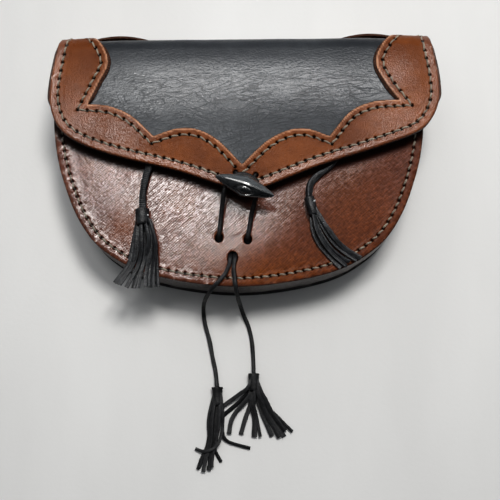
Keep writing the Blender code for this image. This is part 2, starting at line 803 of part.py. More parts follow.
def make_closing_loop(finish, home):
    left, right = PANEL_HOLES[0], PANEL_HOLES[1]
    above = on_panel(CLOSING_LOOP_ROUTE, LOOP_CORD_RADIUS)
    below = [(x, y, front_height(x, y) - depth) for x, y, depth in CLOSING_LOOP_INSIDE]
    route = [*through_hole(left)[1:], *above, *through_hole(right)[:0:-1], *below]
    route = [tuple(point) for point in route]
    route.append(route[0])
    cord("closing_loop", route, LOOP_CORD_RADIUS, LOOP_CORD_STEP, finish, home, closed=True)


def make_thong(name, hole, route, radius, finish, home, aside=0.0):
    points = [*through_hole(hole, aside=aside), *on_panel(route, radius)]
    cord(name, [tuple(point) for point in points], radius, THONG_STEP, finish, home)


# ---------------------------------------------------------------- the tassels


def strip_route(strip, number, count, head, ground):
    """One strip's smooth route: out of the head, through its middle point, to its end."""
    start, end, height, radius = head
    mid_x, mid_y, end_x, end_y, mid_z, end_z = strip
    reach = end - start
    spread = np.array((-reach[1], reach[0])) / np.linalg.norm(reach)
    side = (number - (count - 1) / 2) / count * radius * spread
    layer = height + (-1 if number % 2 else 1) * STRIP_LAYER * radius
    route = (
        (*(end - STRIP_ROOT * reach + side), layer),
        (*(end + STRIP_NECK * reach + 1.5 * side), layer),
        (mid_x, mid_y, ground(mid_x, mid_y) + STRIP_RADIUS + mid_z),
        (end_x, end_y, ground(end_x, end_y) + STRIP_RADIUS + end_z),
    )
    return spaced(smooth(route, 6), STRIP_STEP)


def make_tassel(name, strips, start, end, radius, floor, finish, home, helpers):
    """A head and its strips, fused into one body."""

    def ground(x, y):
        return front_height(x, y) + GAP if floor is None else floor

    start, end = np.array(start), np.array(end)
    height = ground(*start) + radius + HEAD_LIFT
    axis = [(*(start + (end - start) * share), height) for share, _ in HEAD_PROFILE]
    head_bm = closed_mesh_of(tube(name, axis, [radius * size for _, size in HEAD_PROFILE], home))
    locks_bm = bmesh.new()
    for number, strip in enumerate(strips):
        points = strip_route(strip, number, len(strips), (start, end, height, radius), ground)
        radii = [STRIP_RADIUS] * len(points)
        bm = closed_mesh_of(tube(name, points, radii, home, resolution=1))
        mesh = bpy.data.meshes.new(name)
        bm.to_mesh(mesh)
        bm.free()
        locks_bm.from_mesh(mesh)
        bpy.data.meshes.remove(mesh)
    locks = add_mesh(f"{name}_strips", locks_bm, None, helpers)
    hide_helper(locks)
    head = add_mesh(name, head_bm, finish, home)
    fuse = head.modifiers.new("strips", "BOOLEAN")
    fuse.operation = "UNION"
    fuse.solver = "EXACT"
    fuse.use_self = True
    fuse.object = locks


# ---------------------------------------------------------------- the whole pouch


def main():
    clear_scene()
    home = collection("sporran_pouch")
    helpers = collection("cutters")
    brown = material("brown_leather", (0.24, 0.085, 0.042), 0.42)
    red_brown = material("red_brown_leather", (0.15, 0.048, 0.03), 0.4)
    black = material("black_leather", (0.035, 0.037, 0.042), 0.5)
    dark = material("dark_leather", (0.02, 0.018, 0.018), 0.6)
    horn = material("black_horn", (0.012, 0.012, 0.013), 0.22)
    cord_black = material("black_cord", (0.014, 0.014, 0.015), 0.5)

    make_back_panel(dark, home)
    make_gusset(dark, home)
    make_front_panel(red_brown, home, helpers)

    holes = [
        drill(f"flap_hole_{number}", point, FLAP_HOLE_RADIUS, (0, 0, 1), FLAP_DRILL_LENGTH, helpers)
        for number, point in enumerate((TOGGLE_CORD_ROUTE[6], TOGGLE_CORD_ROUTE[12]))
    ]
    make_flap(black, home, holes)
    make_trim(brown, home, holes)
    for name, left, right in HANGER_LOOPS:
        make_hanger_loop(name, left, right, brown, home)

    make_toggle(horn, home, helpers)
    radius, step = TOGGLE_CORD_RADIUS, TOGGLE_CORD_STEP
    cord("toggle_cord", TOGGLE_CORD_ROUTE, radius, step, cord_black, home)
    make_closing_loop(cord_black, home)

    low, left, right = PANEL_HOLES[2:5]
    side, thin, aside = SIDE_THONG_RADIUS, LOW_THONG_RADIUS, LOW_THONG_ASIDE
    make_thong("thong_left", left, THONG_LEFT_ROUTE, side, cord_black, home)
    make_thong("thong_right", right, THONG_RIGHT_ROUTE, side, cord_black, home)
    make_thong("thong_low_left", low, THONG_LOW_LEFT_ROUTE, thin, cord_black, home, -aside)
    make_thong("thong_low_right", low, THONG_LOW_RIGHT_ROUTE, thin, cord_black, home, aside)
    for name, strips, start, end, radius, floor in TASSELS:
        make_tassel(name, strips, start, end, radius, floor, cord_black, home, helpers)


main()
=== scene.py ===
"""Looks of the sporran pouch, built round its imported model.

The pouch lies on its back. X runs to the right, Y towards the top of the pouch and Z up. Lengths
are millimetres in the model's own frame, and become metres where a mesh is finished.
"""

import logging
import math
import random
from dataclasses import dataclass, field
from enum import Enum
from typing import Callable, Optional, Protocol, Sequence

import bmesh
import bpy
import numpy as np
from mathutils import Matrix, Vector, noise


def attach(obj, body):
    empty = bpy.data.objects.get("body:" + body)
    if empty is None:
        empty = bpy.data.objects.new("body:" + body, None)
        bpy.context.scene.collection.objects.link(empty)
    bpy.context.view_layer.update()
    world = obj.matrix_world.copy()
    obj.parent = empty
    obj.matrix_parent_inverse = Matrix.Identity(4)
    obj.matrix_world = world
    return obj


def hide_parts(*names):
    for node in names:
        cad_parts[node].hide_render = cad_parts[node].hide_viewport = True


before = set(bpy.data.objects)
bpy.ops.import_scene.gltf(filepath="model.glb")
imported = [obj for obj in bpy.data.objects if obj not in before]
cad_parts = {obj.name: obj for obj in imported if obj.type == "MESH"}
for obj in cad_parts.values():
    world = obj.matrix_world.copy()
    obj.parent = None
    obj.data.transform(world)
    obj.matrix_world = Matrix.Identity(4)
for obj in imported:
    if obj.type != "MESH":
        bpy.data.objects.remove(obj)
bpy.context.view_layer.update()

LOG = logging.getLogger("pouch")
MM = 0.001
GAP = 0.3  # between two pieces that touch
WELD = 0.002  # corners nearer than this become one
WORN_FROM = 2.5  # a tube whose section is squarer than this has rubbed corners
Array = np.ndarray
Material = bpy.types.Material
Socket = bpy.types.NodeSocket
Mesh = bmesh.types.BMesh
Colour = tuple[float, float, float]
Mask = Optional[Callable[[Array], Array]]  # gives a value at each flat place


class Slot(Enum):
    """The record's material slots."""

    BROWN = "brown_leather"
    RED_BROWN = "red_brown_leather"
    BLACK = "black_leather"
    DARK = "dark_leather"
    HORN = "black_horn"
    LACE = "black_lace"


# ---------------------------------------------------------------- curves


def smooth(points: Sequence, steps: int) -> Array:
    """Makes a smooth curve through points.

    Args:
        points: the points that it passes through.
        steps: how many steps each span has.

    Returns:
        The curve's points.
    """
    knots = np.array([tuple(point) for point in points], float)
    knots = np.vstack((2 * knots[0] - knots[1], knots, 2 * knots[-1] - knots[-2]))
    curve = []
    for before, start, end, after in zip(knots, knots[1:], knots[2:], knots[3:]):
        for t in np.arange(steps) / steps:
            bend = 2 * before - 5 * start + 4 * end - after
            swing = 3 * start - before - 3 * end + after
            curve.append(0.5 * (2 * start + (end - before) * t + bend * t**2 + swing * t**3))
    return np.array([*curve, knots[-2]])


def spaced(points: Array, step: float) -> Array:
    """Spreads a curve's points evenly.

    Args:
        points: the curve.
        step: about how far apart its points become.

    Returns:
        The same curve with evenly spaced points.
    """
    along = np.concatenate(([0.0], np.cumsum(np.linalg.norm(np.diff(points, axis=0), axis=1))))
    places = np.linspace(0, along[-1], max(2, round(along[-1] / step) + 1))
    return np.column_stack([np.interp(places, along, axis) for axis in np.transpose(points)])


def spaced_loop(corners: Sequence, step: float) -> Array:
    """Puts points along each side of a closed outline of straight sides.

    Args:
        corners: its corners, the first one again at the end.
        step: about how far apart the points are.

    Returns:
        The outline's points.
    """
    sides = [spaced(np.array(pair, float), step)[:-1] for pair in zip(corners, corners[1:])]
    return np.vstack(sides)


def ease(value: Array | float, low: float, high: float) -> Array:
    """Rises smoothly from 0 to 1.

    Args:
        value: where on the way it is.
        low: where it is still 0.
        high: where it becomes 1.

    Returns:
        The share from 0 to 1.
    """
    share = np.clip((np.asarray(value, float) - low) / (high - low), 0, 1)
    return share * share * (3 - 2 * share)


def hill(value: Array, middle: float, width: float) -> Array:
    """Rises to 1 at a middle value.

    Args:
        value: where on the way it is.
        middle: where it is 1.
        width: how far from there it has fallen to about a third.

    Returns:
        The height from 0 to 1.
    """
    return np.exp(-(((value - middle) / width) ** 2))


def distance_to(points: Array, line: Array) -> Array:
    """Measures how far points lie from a line of straight stretches.

    Args:
        points: flat points, one a row.
        line: the line's points.

    Returns:
        The distance of each point.
    """
    start, reach = line[:-1], np.diff(line, axis=0)
    size = np.maximum((reach**2).sum(1), 1e-12)
    found = []
    for some in np.array_split(points, max(1, len(points) // 4000)):
        offset = some[:, None] - start
        share = np.clip((offset * reach).sum(2) / size, 0, 1)
        found.append(np.linalg.norm(offset - share[..., None] * reach, axis=2).min(1))
    return np.concatenate(found)


def beside(line: Array, margin: float) -> Array:
    """Draws a line beside another, with sharp corners where that one has them.

    Args:
        line: the line to follow.
        margin: how far to its right the new line runs, or to its left where negative.

    Returns:
        The new line's points.
    """
    along = np.diff(line, axis=0)
    along /= np.linalg.norm(along, axis=1)[:, None]
    normals = np.column_stack((along[:, 1], -along[:, 0]))
    before, after = np.vstack((normals[:1], normals)), np.vstack((normals, normals[-1:]))
    turn = np.maximum(1 + (before * after).sum(1), 0.25)
    moved = line + (before + after) / turn[:, None] * margin
    return moved[distance_to(moved, line) > abs(margin) * 0.985]


def corner_spans(line: Array, corner: float = 0.75) -> list[Array]:
    """Cuts a line at its sharp corners.

    Args:
        line: the line.
        corner: the least cosine between stretches that isn't a corner.

    Returns:
        The stretches between the corners.
    """
    along = np.diff(line, axis=0)
    along /= np.linalg.norm(along, axis=1)[:, None]
    sharp = [k + 1 for k in range(len(along) - 1) if along[k] @ along[k + 1] < corner]
    cuts = [0, *sharp, len(line) - 1]
    return [line[a : b + 1] for a, b in zip(cuts, cuts[1:]) if b > a]


def waves(flat: Array, across: float, up: float, seed: float) -> Array:
    """Makes soft noise from about -1 to 1.

    Args:
        flat: flat places, one a row.
        across: how fast it changes along x.
        up: how fast it changes along y.
        seed: which noise it is.

    Returns:
        The noise at each place.
    """
    return np.array([noise.noise(Vector((x * across, y * up, seed))) for x, y in flat])


# ---------------------------------------------------------------- meshes


def add_grid(bm: Mesh, places: Array, worn: Optional[Array] = None) -> None:
    """Adds a grid, puts its corners where an array says and welds those that meet.

    Args:
        bm: the mesh that gains the grid.
        places: rows by columns by three coordinates.
        worn: how much each corner is rubbed, from 0 to 1.
    """
    rows, columns = places.shape[:2]
    layer = bm.verts.layers.float.get("worn") or bm.verts.layers.float.new("worn")
    size = dict(x_segments=columns - 1, y_segments=rows - 1, size=0.5)
    made = bmesh.ops.create_grid(bm, **size)["verts"]
    for vert in made:
        column = round((vert.co.x + 0.5) * (columns - 1))
        row = round((vert.co.y + 0.5) * (rows - 1))
        vert.co = places[row, column]
        vert[layer] = 0.0 if worn is None else float(worn[row, column])
    bmesh.ops.remove_doubles(bm, verts=made, dist=WELD)


def add_sweep(
    bm: Mesh,
    points: Array,
    width: Array | float,
    height: Array | float,
    sides: int = 8,
    square: float = 2.0,
    roll: Array | float = 0.0,
) -> None:
    """Adds a closed tube along a path.

    Args:
        bm: the mesh that gains the tube.
        points: the path.
        width: half the tube's width, at each point or everywhere.
        height: half its height.
        sides: faces round the tube.
        square: 2 for a round section, more for a squarer one.
        roll: how far the section turns about the path, in radians.
    """
    count = len(points)
    width, height = np.broadcast_to(width, count), np.broadcast_to(height, count)
    roll = np.broadcast_to(roll, count)
    along = np.gradient(points, axis=0)
    along /= np.linalg.norm(along, axis=1)[:, None]
    angles = np.linspace(0, math.tau, sides + 1)
    across, rise = rounded(np.cos(angles), square), rounded(np.sin(angles), square)
    side = np.cross(along[0], (0, 0, 1))
    rings = []
    for place, way, wide, high, turn in zip(points, along, width, height, roll):
        side = side - way * (side @ way)
        side /= np.linalg.norm(side)
        over = np.cross(side, way)
        first = side * math.cos(turn) + over * math.sin(turn)
        second = over * math.cos(turn) - side * math.sin(turn)
        rings.append(place + np.outer(across * wide, first) + np.outer(rise * high, second))
    ends = [np.tile(points[k], (sides + 1, 1)) for k in (0, -1)]
    corner = np.abs(np.sin(2 * angles)) ** 3 if square > WORN_FROM else np.zeros(sides + 1)
    add_grid(bm, np.array([ends[0], *rings, ends[1]]), np.tile(corner, (count + 2, 1)))


def rounded(value: Array, square: float) -> Array:
    """A section's coordinate from its cosine or sine: 2 is round, more squarer, less sharper."""
    return np.sign(value) * np.abs(value) ** (2 / square)


def linked(name: str, data: bpy.types.ID) -> bpy.types.Object:
    """Adds an object with this data to the scene."""
    obj = bpy.data.objects.new(name, data)
    bpy.context.scene.collection.objects.link(obj)
    return obj


def finished(
    name: str,
    bm: Mesh,
    finish: Material,
    stands_for: Sequence[str] = (),
    masks: Optional[dict[str, Array]] = None,
    sharp: float = 50.0,
) -> bpy.types.Object:
    """Makes the object of a finished mesh, which rides on the pouch.

    Args:
        name: the piece's name.
        bm: its mesh in millimetres, which is freed.
        finish: its material.
        stands_for: the model's nodes that it replaces.
        masks: values that its material reads, one a corner.
        sharp: the angle in degrees past which an edge looks sharp.

    Returns:
        The object.
    """
    bmesh.ops.recalc_face_normals(bm, faces=bm.faces)
    if bm.calc_volume(signed=True) < 0:
        bmesh.ops.reverse_faces(bm, faces=bm.faces)
    bmesh.ops.scale(bm, vec=(MM, MM, MM), verts=bm.verts)
    mesh = bpy.data.meshes.new(name)
    bm.to_mesh(mesh)
    bm.free()
    mesh.shade_smooth()
    mesh.set_sharp_from_angle(angle=math.radians(sharp))
    for mask, values in (masks or {}).items():
        layer = mesh.attributes.new(mask, "FLOAT", "POINT")
        layer.data.foreach_set("value", np.ascontiguousarray(values, np.float32))
    mesh.materials.append(finish)
    obj = linked(name, mesh)
    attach(obj, "root")
    if stands_for:
        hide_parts(*stands_for)
    LOG.info("%s: %d faces", name, len(mesh.polygons))
    return obj


# ---------------------------------------------------------------- finishes


class Net:
    """A material's node network."""

    MIX_COLOURS = (6, 7)  # the mix node's two colour inputs
    MIX_RESULT = 2

    def __init__(self, name: str) -> None:
        """Starts a material with its surface shader.

        Args:
            name: the material's name.
        """
        self.material = bpy.data.materials.new(name)
        self.material.use_nodes = True
        self.nodes = self.material.node_tree.nodes
        self.links = self.material.node_tree.links
        self.shader = self.nodes["Principled BSDF"]
        self.place = self.node("TexCoord", {})["Object"]

    def put(self, socket: Socket, value: object) -> None:
        """Links a value to a socket, or sets it there.

        Args:
            socket: the socket.
            value: another node's output, a colour or a number.
        """
        if isinstance(value, bpy.types.NodeSocket):
            self.links.new(value, socket)
        elif isinstance(value, tuple) and len(value) == 3 and socket.type == "RGBA":
            socket.default_value = (*value, 1.0)
        else:
            socket.default_value = value

    def set(self, **values: object) -> None:
        """Sets the shader's sockets, named in lower case with underscores."""
        for name, value in values.items():
            socket = name.replace("_", " ").title().replace("Ior", "IOR")
            self.put(self.shader.inputs[socket], value)

    def node(self, kind: str, inputs: dict, **settings: object) -> bpy.types.bpy_prop_collection:
        """Adds a node.

        Args:
            kind: its type, without the words that every type begins with.
            inputs: what its sockets get, by their names or numbers.
            settings: its other settings.

        Returns:
            Its outputs.
        """
        node = self.nodes.new("ShaderNode" + kind)
        for name, value in settings.items():
            setattr(node, name, value)
        for socket, value in inputs.items():
            self.put(node.inputs[socket], value)
        return node.outputs

    def stretched(self, scale: Sequence[float], turn: float = 0.0) -> Socket:
        """Scales the coordinates each way, after a turn about Z.

        Args:
            scale: the scales along X, Y and Z.
            turn: the turn in degrees.

        Returns:
            The new coordinates.
        """
        angles = (0, 0, math.radians(turn))
        turned = self.node("Mapping", {"Vector": self.place, "Rotation": angles})[0]
        return self.node("Mapping", {"Vector": turned, "Scale": tuple(scale)})[0]

    def noise(self, scale: float, detail: float = 3, where: Optional[Socket] = None) -> Socket:
        """Makes soft noise.

        Args:
            scale: how fine it is.
            detail: how much finer noise lies on it.
            where: its coordinates, the object's own where none.

        Returns:
            The noise.
        """
        inputs = {"Vector": where or self.place, "Scale": scale, "Detail": detail}
        return self.node("TexNoise", inputs)["Fac"]

    def warped(self, where: Socket, scale: float, reach: float) -> Socket:
        """Shifts coordinates by soft noise, so that a pattern on them wanders.

        Args:
            where: the coordinates.
            scale: how fine the noise is.
            reach: how far it shifts them.

        Returns:
            The shifted coordinates.
        """
        shift = self.node("TexNoise", {"Vector": self.place, "Scale": scale})["Color"]
        inputs = {0: shift, 1: (reach, reach, reach), 2: where}
        return self.node("VectorMath", inputs, operation="MULTIPLY_ADD")["Vector"]

    def cells(
        self, scale: float, feature: str = "F1", where: Optional[Socket] = None
    ) -> Socket:
        """Makes rounded cells, as in leather's grain.

        Args:
            scale: how fine they are.
            feature: which distance is measured.
            where: their coordinates, the object's own where none.

        Returns:
            The distance inside each cell.
        """
        inputs = {"Vector": where or self.place, "Scale": scale}
        return self.node("TexVoronoi", inputs, feature=feature)["Distance"]

    def bands(self, scale: float, bend: float, turn: float) -> Socket:
        """Makes parallel lines.

        Args:
            scale: how fine they are.
            bend: how much noise bends them.
            turn: their turn about Z in degrees.

        Returns:
            How light each place is.
        """
        inputs = {"Vector": self.stretched((1, 1, 1), turn), "Scale": scale, "Distortion": bend}
        return self.node("TexWave", {**inputs, "Detail": 2, "Detail Scale": 0.6})["Fac"]

    def mask(self, name: str) -> Socket:
        """Reads a value that the mesh carries."""
        return self.node("Attribute", {}, attribute_name=name)["Fac"]

    def along(self, axis: int) -> Socket:
        """Reads the coordinate along this axis."""
        return self.node("SeparateXYZ", {0: self.place})[axis]

    def maths(self, kind: str, first: object, second: object) -> Socket:
        """Works out a sum, product, least or greatest of two values."""
        return self.node("Math", {0: first, 1: second}, operation=kind)[0]

    def times(self, first: object, second: object) -> Socket:
        """Multiplies two values."""
        return self.maths("MULTIPLY", first, second)

    def fitted(self, value: Socket, low: float, high: float, to: tuple[float, float]) -> Socket:
        """Fits a value's range to another one, cut off at its ends.

        Args:
            value: the value.
            low: where its range starts.
            high: where its range ends.
            to: the start and end of the new range.

        Returns:
            The fitted value.
        """
        ends = {"From Min": low, "From Max": high, "To Min": to[0], "To Max": to[1]}
        return self.node("MapRange", {"Value": value, **ends})["Result"]

    def share(self, value: Socket, low: float, high: float) -> Socket:
        """Fits a value's range to 0 at low and 1 at high."""
        return self.fitted(value, low, high, (0, 1))

    def mix(self, share: object, first: object, second: object) -> Socket:
        """Mixes two colours.

        Args:
            share: how much there is of the second.
            first: the first colour.
            second: the second colour.

        Returns:
            The mixed colour.
        """
        inputs = {0: share, **dict(zip(self.MIX_COLOURS, (first, second)))}
        return self.node("Mix", inputs, data_type="RGBA")[self.MIX_RESULT]

    def bump(self, height: Socket, depth: float, under: Optional[Socket] = None) -> Socket:
        """Bumps the surface.

        Args:
            height: the height, from 0 to 1.
            depth: how many millimetres that is.
            under: another bump that this one lies on.

        Returns:
            The bumped normal.
        """
        inputs = {"Height": height, "Distance": depth * MM}
        return self.node("Bump", {**inputs, "Normal": under} if under else inputs)["Normal"]


def toned(colour: Colour, share: float) -> Colour:
    """This share of a colour's strength."""
    return tuple(part * share for part in colour)


class Grain(Enum):
    """The grain of a leather's face."""

    SMOOTH = "smooth"
    HATCHED = "hatched"
    PEBBLED = "pebbled"


@dataclass(frozen=True)
class Hatch:
    """The crossed lines on the front: how fine each kind is, and which way it runs."""

    steep: float = 48  # the lines' turn in degrees
    level: float = -44  # that of the lines across them
    ruled_scale: float = 290
    ruled_bend: float = 2.6
    ruled_from: tuple[float, float] = (-0.005, 0.03)  # x in metres between strong and weak lines
    ruled_share: tuple[float, float] = (0.65, 0.15)
    stroke_scale: tuple = (1450, 280, 600)
    stroke_share: float = 0.65
    cross_scale: tuple = (1300, 300, 600)
    cross_share: float = 0.4

    def make(self, net: Net) -> Socket:
        """Adds the lines to a material.

        Args:
            net: the material's network.

        Returns:
            How high each place lies.
        """
        ruled = net.bands(self.ruled_scale, self.ruled_bend, self.steep)
        ruled = net.times(ruled, net.fitted(net.along(0), *self.ruled_from, self.ruled_share))
        lines = [ruled]
        for scale, turn, share in (
            (self.stroke_scale, self.steep, self.stroke_share),
            (self.cross_scale, self.level, self.cross_share),
        ):
            strokes = net.share(net.noise(1, 2, net.stretched(scale, turn)), 0.34, 0.66)
            lines.append(net.times(strokes, share))
        return net.maths("ADD", net.maths("ADD", *lines[:2]), lines[2])


@dataclass(frozen=True)
class Wrinkles:
    """Fine broken lines across the flap, none near its roll."""

    kinds: tuple = (
        # the cells' scales, their turn in degrees, the line's share of them, and how fine its gaps
        ((44, 270, 300), 3, 0.075, 40),
        ((85, 430, 400), -12, 0.08, 70),
    )
    wander: tuple[float, float] = (45, 2.2)  # how fine and how far
    smooth_from: tuple[float, float] = (0.034, 0.054)  # y in metres where they fade out

    def make(self, net: Net) -> Socket:
        """Adds the lines to a material.

        Args:
            net: the material's network.

        Returns:
            0 along each line and 1 elsewhere.
        """
        kinds = []
        for scale, turn, width, gaps in self.kinds:
            where = net.warped(net.stretched(scale, turn), *self.wander)
            lines = net.share(net.cells(1, "DISTANCE_TO_EDGE", where), 0.0, width)
            bare = net.share(net.noise(gaps, 3), 0.42, 0.74)
            bare = net.maths("MAXIMUM", bare, net.share(net.along(1), *self.smooth_from))
            kinds.append(net.maths("MAXIMUM", lines, bare))
        return net.maths("MINIMUM", *kinds)


@dataclass(frozen=True)
class LeatherFinish:
    """A finished leather, with its worn rim, its cut edge, and painted shade in its stitch holes
    and in painted shadows.
    """

    name: str
    dark: Colour
    light: Colour
    rim: Colour  # where an edge is worn
    wall: Colour  # of the cut edge
    grain: Grain
    gloss: tuple[float, float] = (0.36, 0.56)  # roughness, least and most
    depth: float = 0.08  # of the grain
    warm: Optional[Colour] = None  # where it is burnished
    specular: float = 0.5
    tint: Colour = (1.0, 0.92, 0.88)  # of its gleam
    wax: float = 0.0  # how strong its polish is
    wax_gloss: float = 0.24
    # The painted shade in stitch holes and in painted shadows.
    hole: Colour = (0.004, 0.003, 0.003)
    # Painted shade along the wrinkle lines.
    crease: Colour = (0.006, 0.006, 0.007)
    tone_scale: float = 24
    mottle_scale: float = 190
    pore_scale: float = 900
    smooth_pore_scale: float = 1400
    gloss_scale: float = 420
    fibre_scale: float = 1500

    def make(self) -> Material:
        """Builds the material."""
        net = Net(self.name)
        mottle = net.noise(self.mottle_scale, 5)
        is_smooth = self.grain is Grain.SMOOTH
        pores = net.cells(self.smooth_pore_scale if is_smooth else self.pore_scale)
        lines, open_face, colour = self.face(net, mottle, pores)
        bare = net.maths("MAXIMUM", net.mask("wall"), net.mask("pit"))
        rough = net.fitted(net.noise(self.gloss_scale, 4), 0.32, 0.68, self.gloss)
        normal = self.relief(net, mottle, pores, lines)
        net.set(base_color=colour, normal=normal)
        net.set(roughness=net.maths("MAXIMUM", rough, net.times(bare, 0.85)))
        net.set(specular_ior_level=self.specular, specular_tint=self.tint)
        if self.wax:
            waxed = net.times(net.mask("wax"), self.wax)
            net.set(coat_weight=net.times(waxed, open_face), coat_roughness=self.wax_gloss)
            net.set(coat_tint=self.tint, coat_normal=normal)
        return net.material

    def face(self, net: Net, mottle: Socket, pores: Socket) -> tuple[Socket, Socket, Socket]:
        """Colours the leather, with painted shade in the hatch's grooves and along the wrinkles.

        Args:
            net: the material's network.
            mottle: noise a few millimetres across.
            pores: the distance inside the grain's cells.

        Returns:
            The grain's lines, where the face takes polish, and the colour.
        """
        colour = self.coloured(net, mottle, pores)
        if self.grain is Grain.SMOOTH:
            return mottle, net.fitted(pores, 0.1, 0.5, (0.45, 1.3)), colour
        if self.grain is Grain.HATCHED:
            lines = Hatch().make(net)
            # Painted shade in the hatch's grooves.
            groove, under = net.fitted(lines, 0.25, 1.1, (0.65, 0.0)), toned(self.dark, 0.35)
            open_face = net.fitted(lines, 0.35, 1.0, (0.1, 1.45))
        else:
            lines = Wrinkles().make(net)
            # Painted shade along the wrinkle lines.
            groove, under = net.fitted(lines, 0.0, 0.8, (0.6, 0.0)), self.crease
            open_face = net.fitted(lines, 0.0, 0.8, (0.25, 1.05))
        return lines, open_face, net.mix(groove, colour, under)

    def coloured(self, net: Net, mottle: Socket, pores: Socket) -> Socket:
        """Mixes the leather's tones, its burnish, its worn rim, its cut edge, and the painted
        shade of its holes and painted shadows.

        Args:
            net: the material's network.
            mottle: noise a few millimetres across.
            pores: the distance inside the grain's cells.

        Returns:
            The colour.
        """
        tone = net.share(net.noise(self.tone_scale, 4), 0.36, 0.64)
        colour = net.mix(tone, self.dark, self.light)
        shade = net.fitted(mottle, 0.3, 0.7, (0.3, 0.0))
        colour = net.mix(shade, colour, toned(self.dark, 0.45))
        if self.warm:
            uneven = net.fitted(mottle, 0.2, 0.6, (0.6, 1))
            colour = net.mix(net.times(net.mask("warm"), uneven), colour, self.warm)
        pits = net.fitted(pores, 0.05, 0.45, (0.35, 0.0))
        colour = net.mix(pits, colour, toned(self.dark, 0.35))
        worn = net.times(net.mask("rim"), net.fitted(mottle, 0.25, 0.6, (0.35, 1)))
        colour = net.mix(worn, colour, self.rim)
        fibre = net.noise(self.fibre_scale, 3, net.stretched((1, 1, 0.35)))
        cut = net.mix(net.share(fibre, 0.42, 0.62), toned(self.wall, 0.3), self.wall)
        colour = net.mix(net.mask("wall"), colour, cut)
        # Painted shade: near black in the stitch holes and in the flap's painted shadow.
        return net.mix(net.mask("pit"), colour, self.hole)

    def relief(self, net: Net, mottle: Socket, pores: Socket, lines: Socket) -> Socket:
        """Builds the face's fine relief.

        Args:
            net: the material's network.
            mottle: noise a few millimetres across.
            pores: the distance inside the grain's cells.
            lines: the grain's lines.

        Returns:
            The bumped normal.
        """
        if self.grain is Grain.SMOOTH:
            return net.bump(pores, self.depth, net.bump(mottle, self.depth * 0.3))
        soft = net.bump(mottle, self.depth * 0.5)
        if self.grain is Grain.HATCHED:
            # Pebbled at the left, hatched from there on.
            pebble = net.cells(1, "SMOOTH_F1", net.stretched((700, 1000, 800), 20))
            pebble = net.fitted(pebble, 0.0, 0.75, (1, 0))
            pebbled = net.fitted(net.along(0), -0.092, -0.045, (1.0, 0.14))
            hatched = net.fitted(net.along(0), -0.095, -0.05, (0.5, 1.0))
            soft = net.bump(net.times(pebble, pebbled), self.depth * 0.92, soft)
            soft = net.bump(net.times(lines, hatched), self.depth * 0.98, soft)
        else:
            pebble = net.cells(1, "SMOOTH_F1", net.stretched((820, 1180, 800)))
            soft = net.bump(net.fitted(pebble, 0.0, 0.7, (1, 0)), self.depth * 1.1, soft)
            soft = net.bump(lines, self.depth * 0.6, soft)
        return net.bump(pores, self.depth * 0.4, soft)


@dataclass(frozen=True)
class LaceFinish:
    """Black waxed leather lace, grey where it is rubbed."""

    name: str
    base: Colour = (0.005, 0.005, 0.006)
    rubbed: Colour = (0.026, 0.028, 0.031)
    gloss: tuple[float, float] = (0.28, 0.54)  # roughness, least and most
    specular: float = 0.24
    depth: float = 0.12  # of the grain
    edge: float = 1.7  # how much paler than the face its rubbed edges are

    def make(self) -> Material:
        """Builds the material."""
        net = Net(self.name)
        mottle = net.noise(520, 5)
        wear = net.share(net.noise(240, 4), 0.45, 0.72)
        edge = net.times(net.mask("worn"), net.fitted(mottle, 0.3, 0.6, (0.3, 0.9)))
        colour = net.mix(wear, self.base, self.rubbed)
        net.set(base_color=net.mix(edge, colour, toned(self.rubbed, self.edge)))
        net.set(roughness=net.fitted(mottle, 0.3, 0.7, self.gloss))
        fine = net.bump(net.cells(1600), self.depth)
        net.set(normal=net.bump(mottle, self.depth * 2.2, fine), specular_ior_level=self.specular)
        return net.material


@dataclass(frozen=True)
class HornFinish:
    """Polished black horn with fine streaks along the toggle, and a painted sheen on the toggle's
    upper face.
    """

    name: str
    base: Colour = (0.006, 0.007, 0.008)
    streak: Colour = (0.026, 0.029, 0.031)
    turn: float = 20.5  # of the streaks, in degrees
    edge: float = 2.4  # how much paler than the streaks its painted sheen is

    def make(self) -> Material:
        """Builds the material."""
        net = Net(self.name)
        streaks = net.noise(1, 5, net.stretched((70, 1500, 1500), self.turn))
        cloudy = net.times(net.share(streaks, 0.42, 0.68), net.noise(160, 3))
        # On the toggle the worn value marks the upper face, which is painted paler as a painted
        # sheen.
        worn = net.times(net.mask("worn"), net.fitted(streaks, 0.35, 0.6, (0.35, 1)))
        colour = net.mix(cloudy, self.base, self.streak)
        net.set(base_color=net.mix(worn, colour, toned(self.streak, self.edge)))
        net.set(roughness=net.fitted(streaks, 0.3, 0.7, (0.2, 0.4)), specular_ior_level=0.25)
        net.set(normal=net.bump(streaks, 0.05), coat_weight=0.9)
        net.set(coat_roughness=0.06, coat_ior=1.55)
        return net.material


@dataclass(frozen=True)
class ThreadFinish:
    """Waxed taupe linen thread, with painted shade between its strands."""

    name: str
    base: Colour = (0.36, 0.32, 0.25)
    shade: Colour = (0.13, 0.11, 0.085)  # painted shade between its strands

    def make(self) -> Material:
        """Builds the material."""
        net = Net(self.name)
        twist = net.bands(520, 1.5, 40)
        soil = net.fitted(net.noise(150, 4), 0.4, 0.7, (0, 0.8))
        # Painted shade between the strands.
        colour = net.mix(net.fitted(twist, 0.1, 0.6, (0.7, 0)), self.base, self.shade)
        net.set(base_color=net.mix(soil, colour, toned(self.shade, 1.3)))
        net.set(roughness=0.62, specular_ior_level=0.4, normal=net.bump(twist, 0.12))
        return net.material


# ---------------------------------------------------------------- forms that leather is laid over


class Form(Protocol):
    """What a flat pattern of leather is laid over."""

    def place(self, x: Array, y: Array, lift: Array | float) -> Array:
        """Gives where the pattern's points lie, this far above the leather's middle surface."""


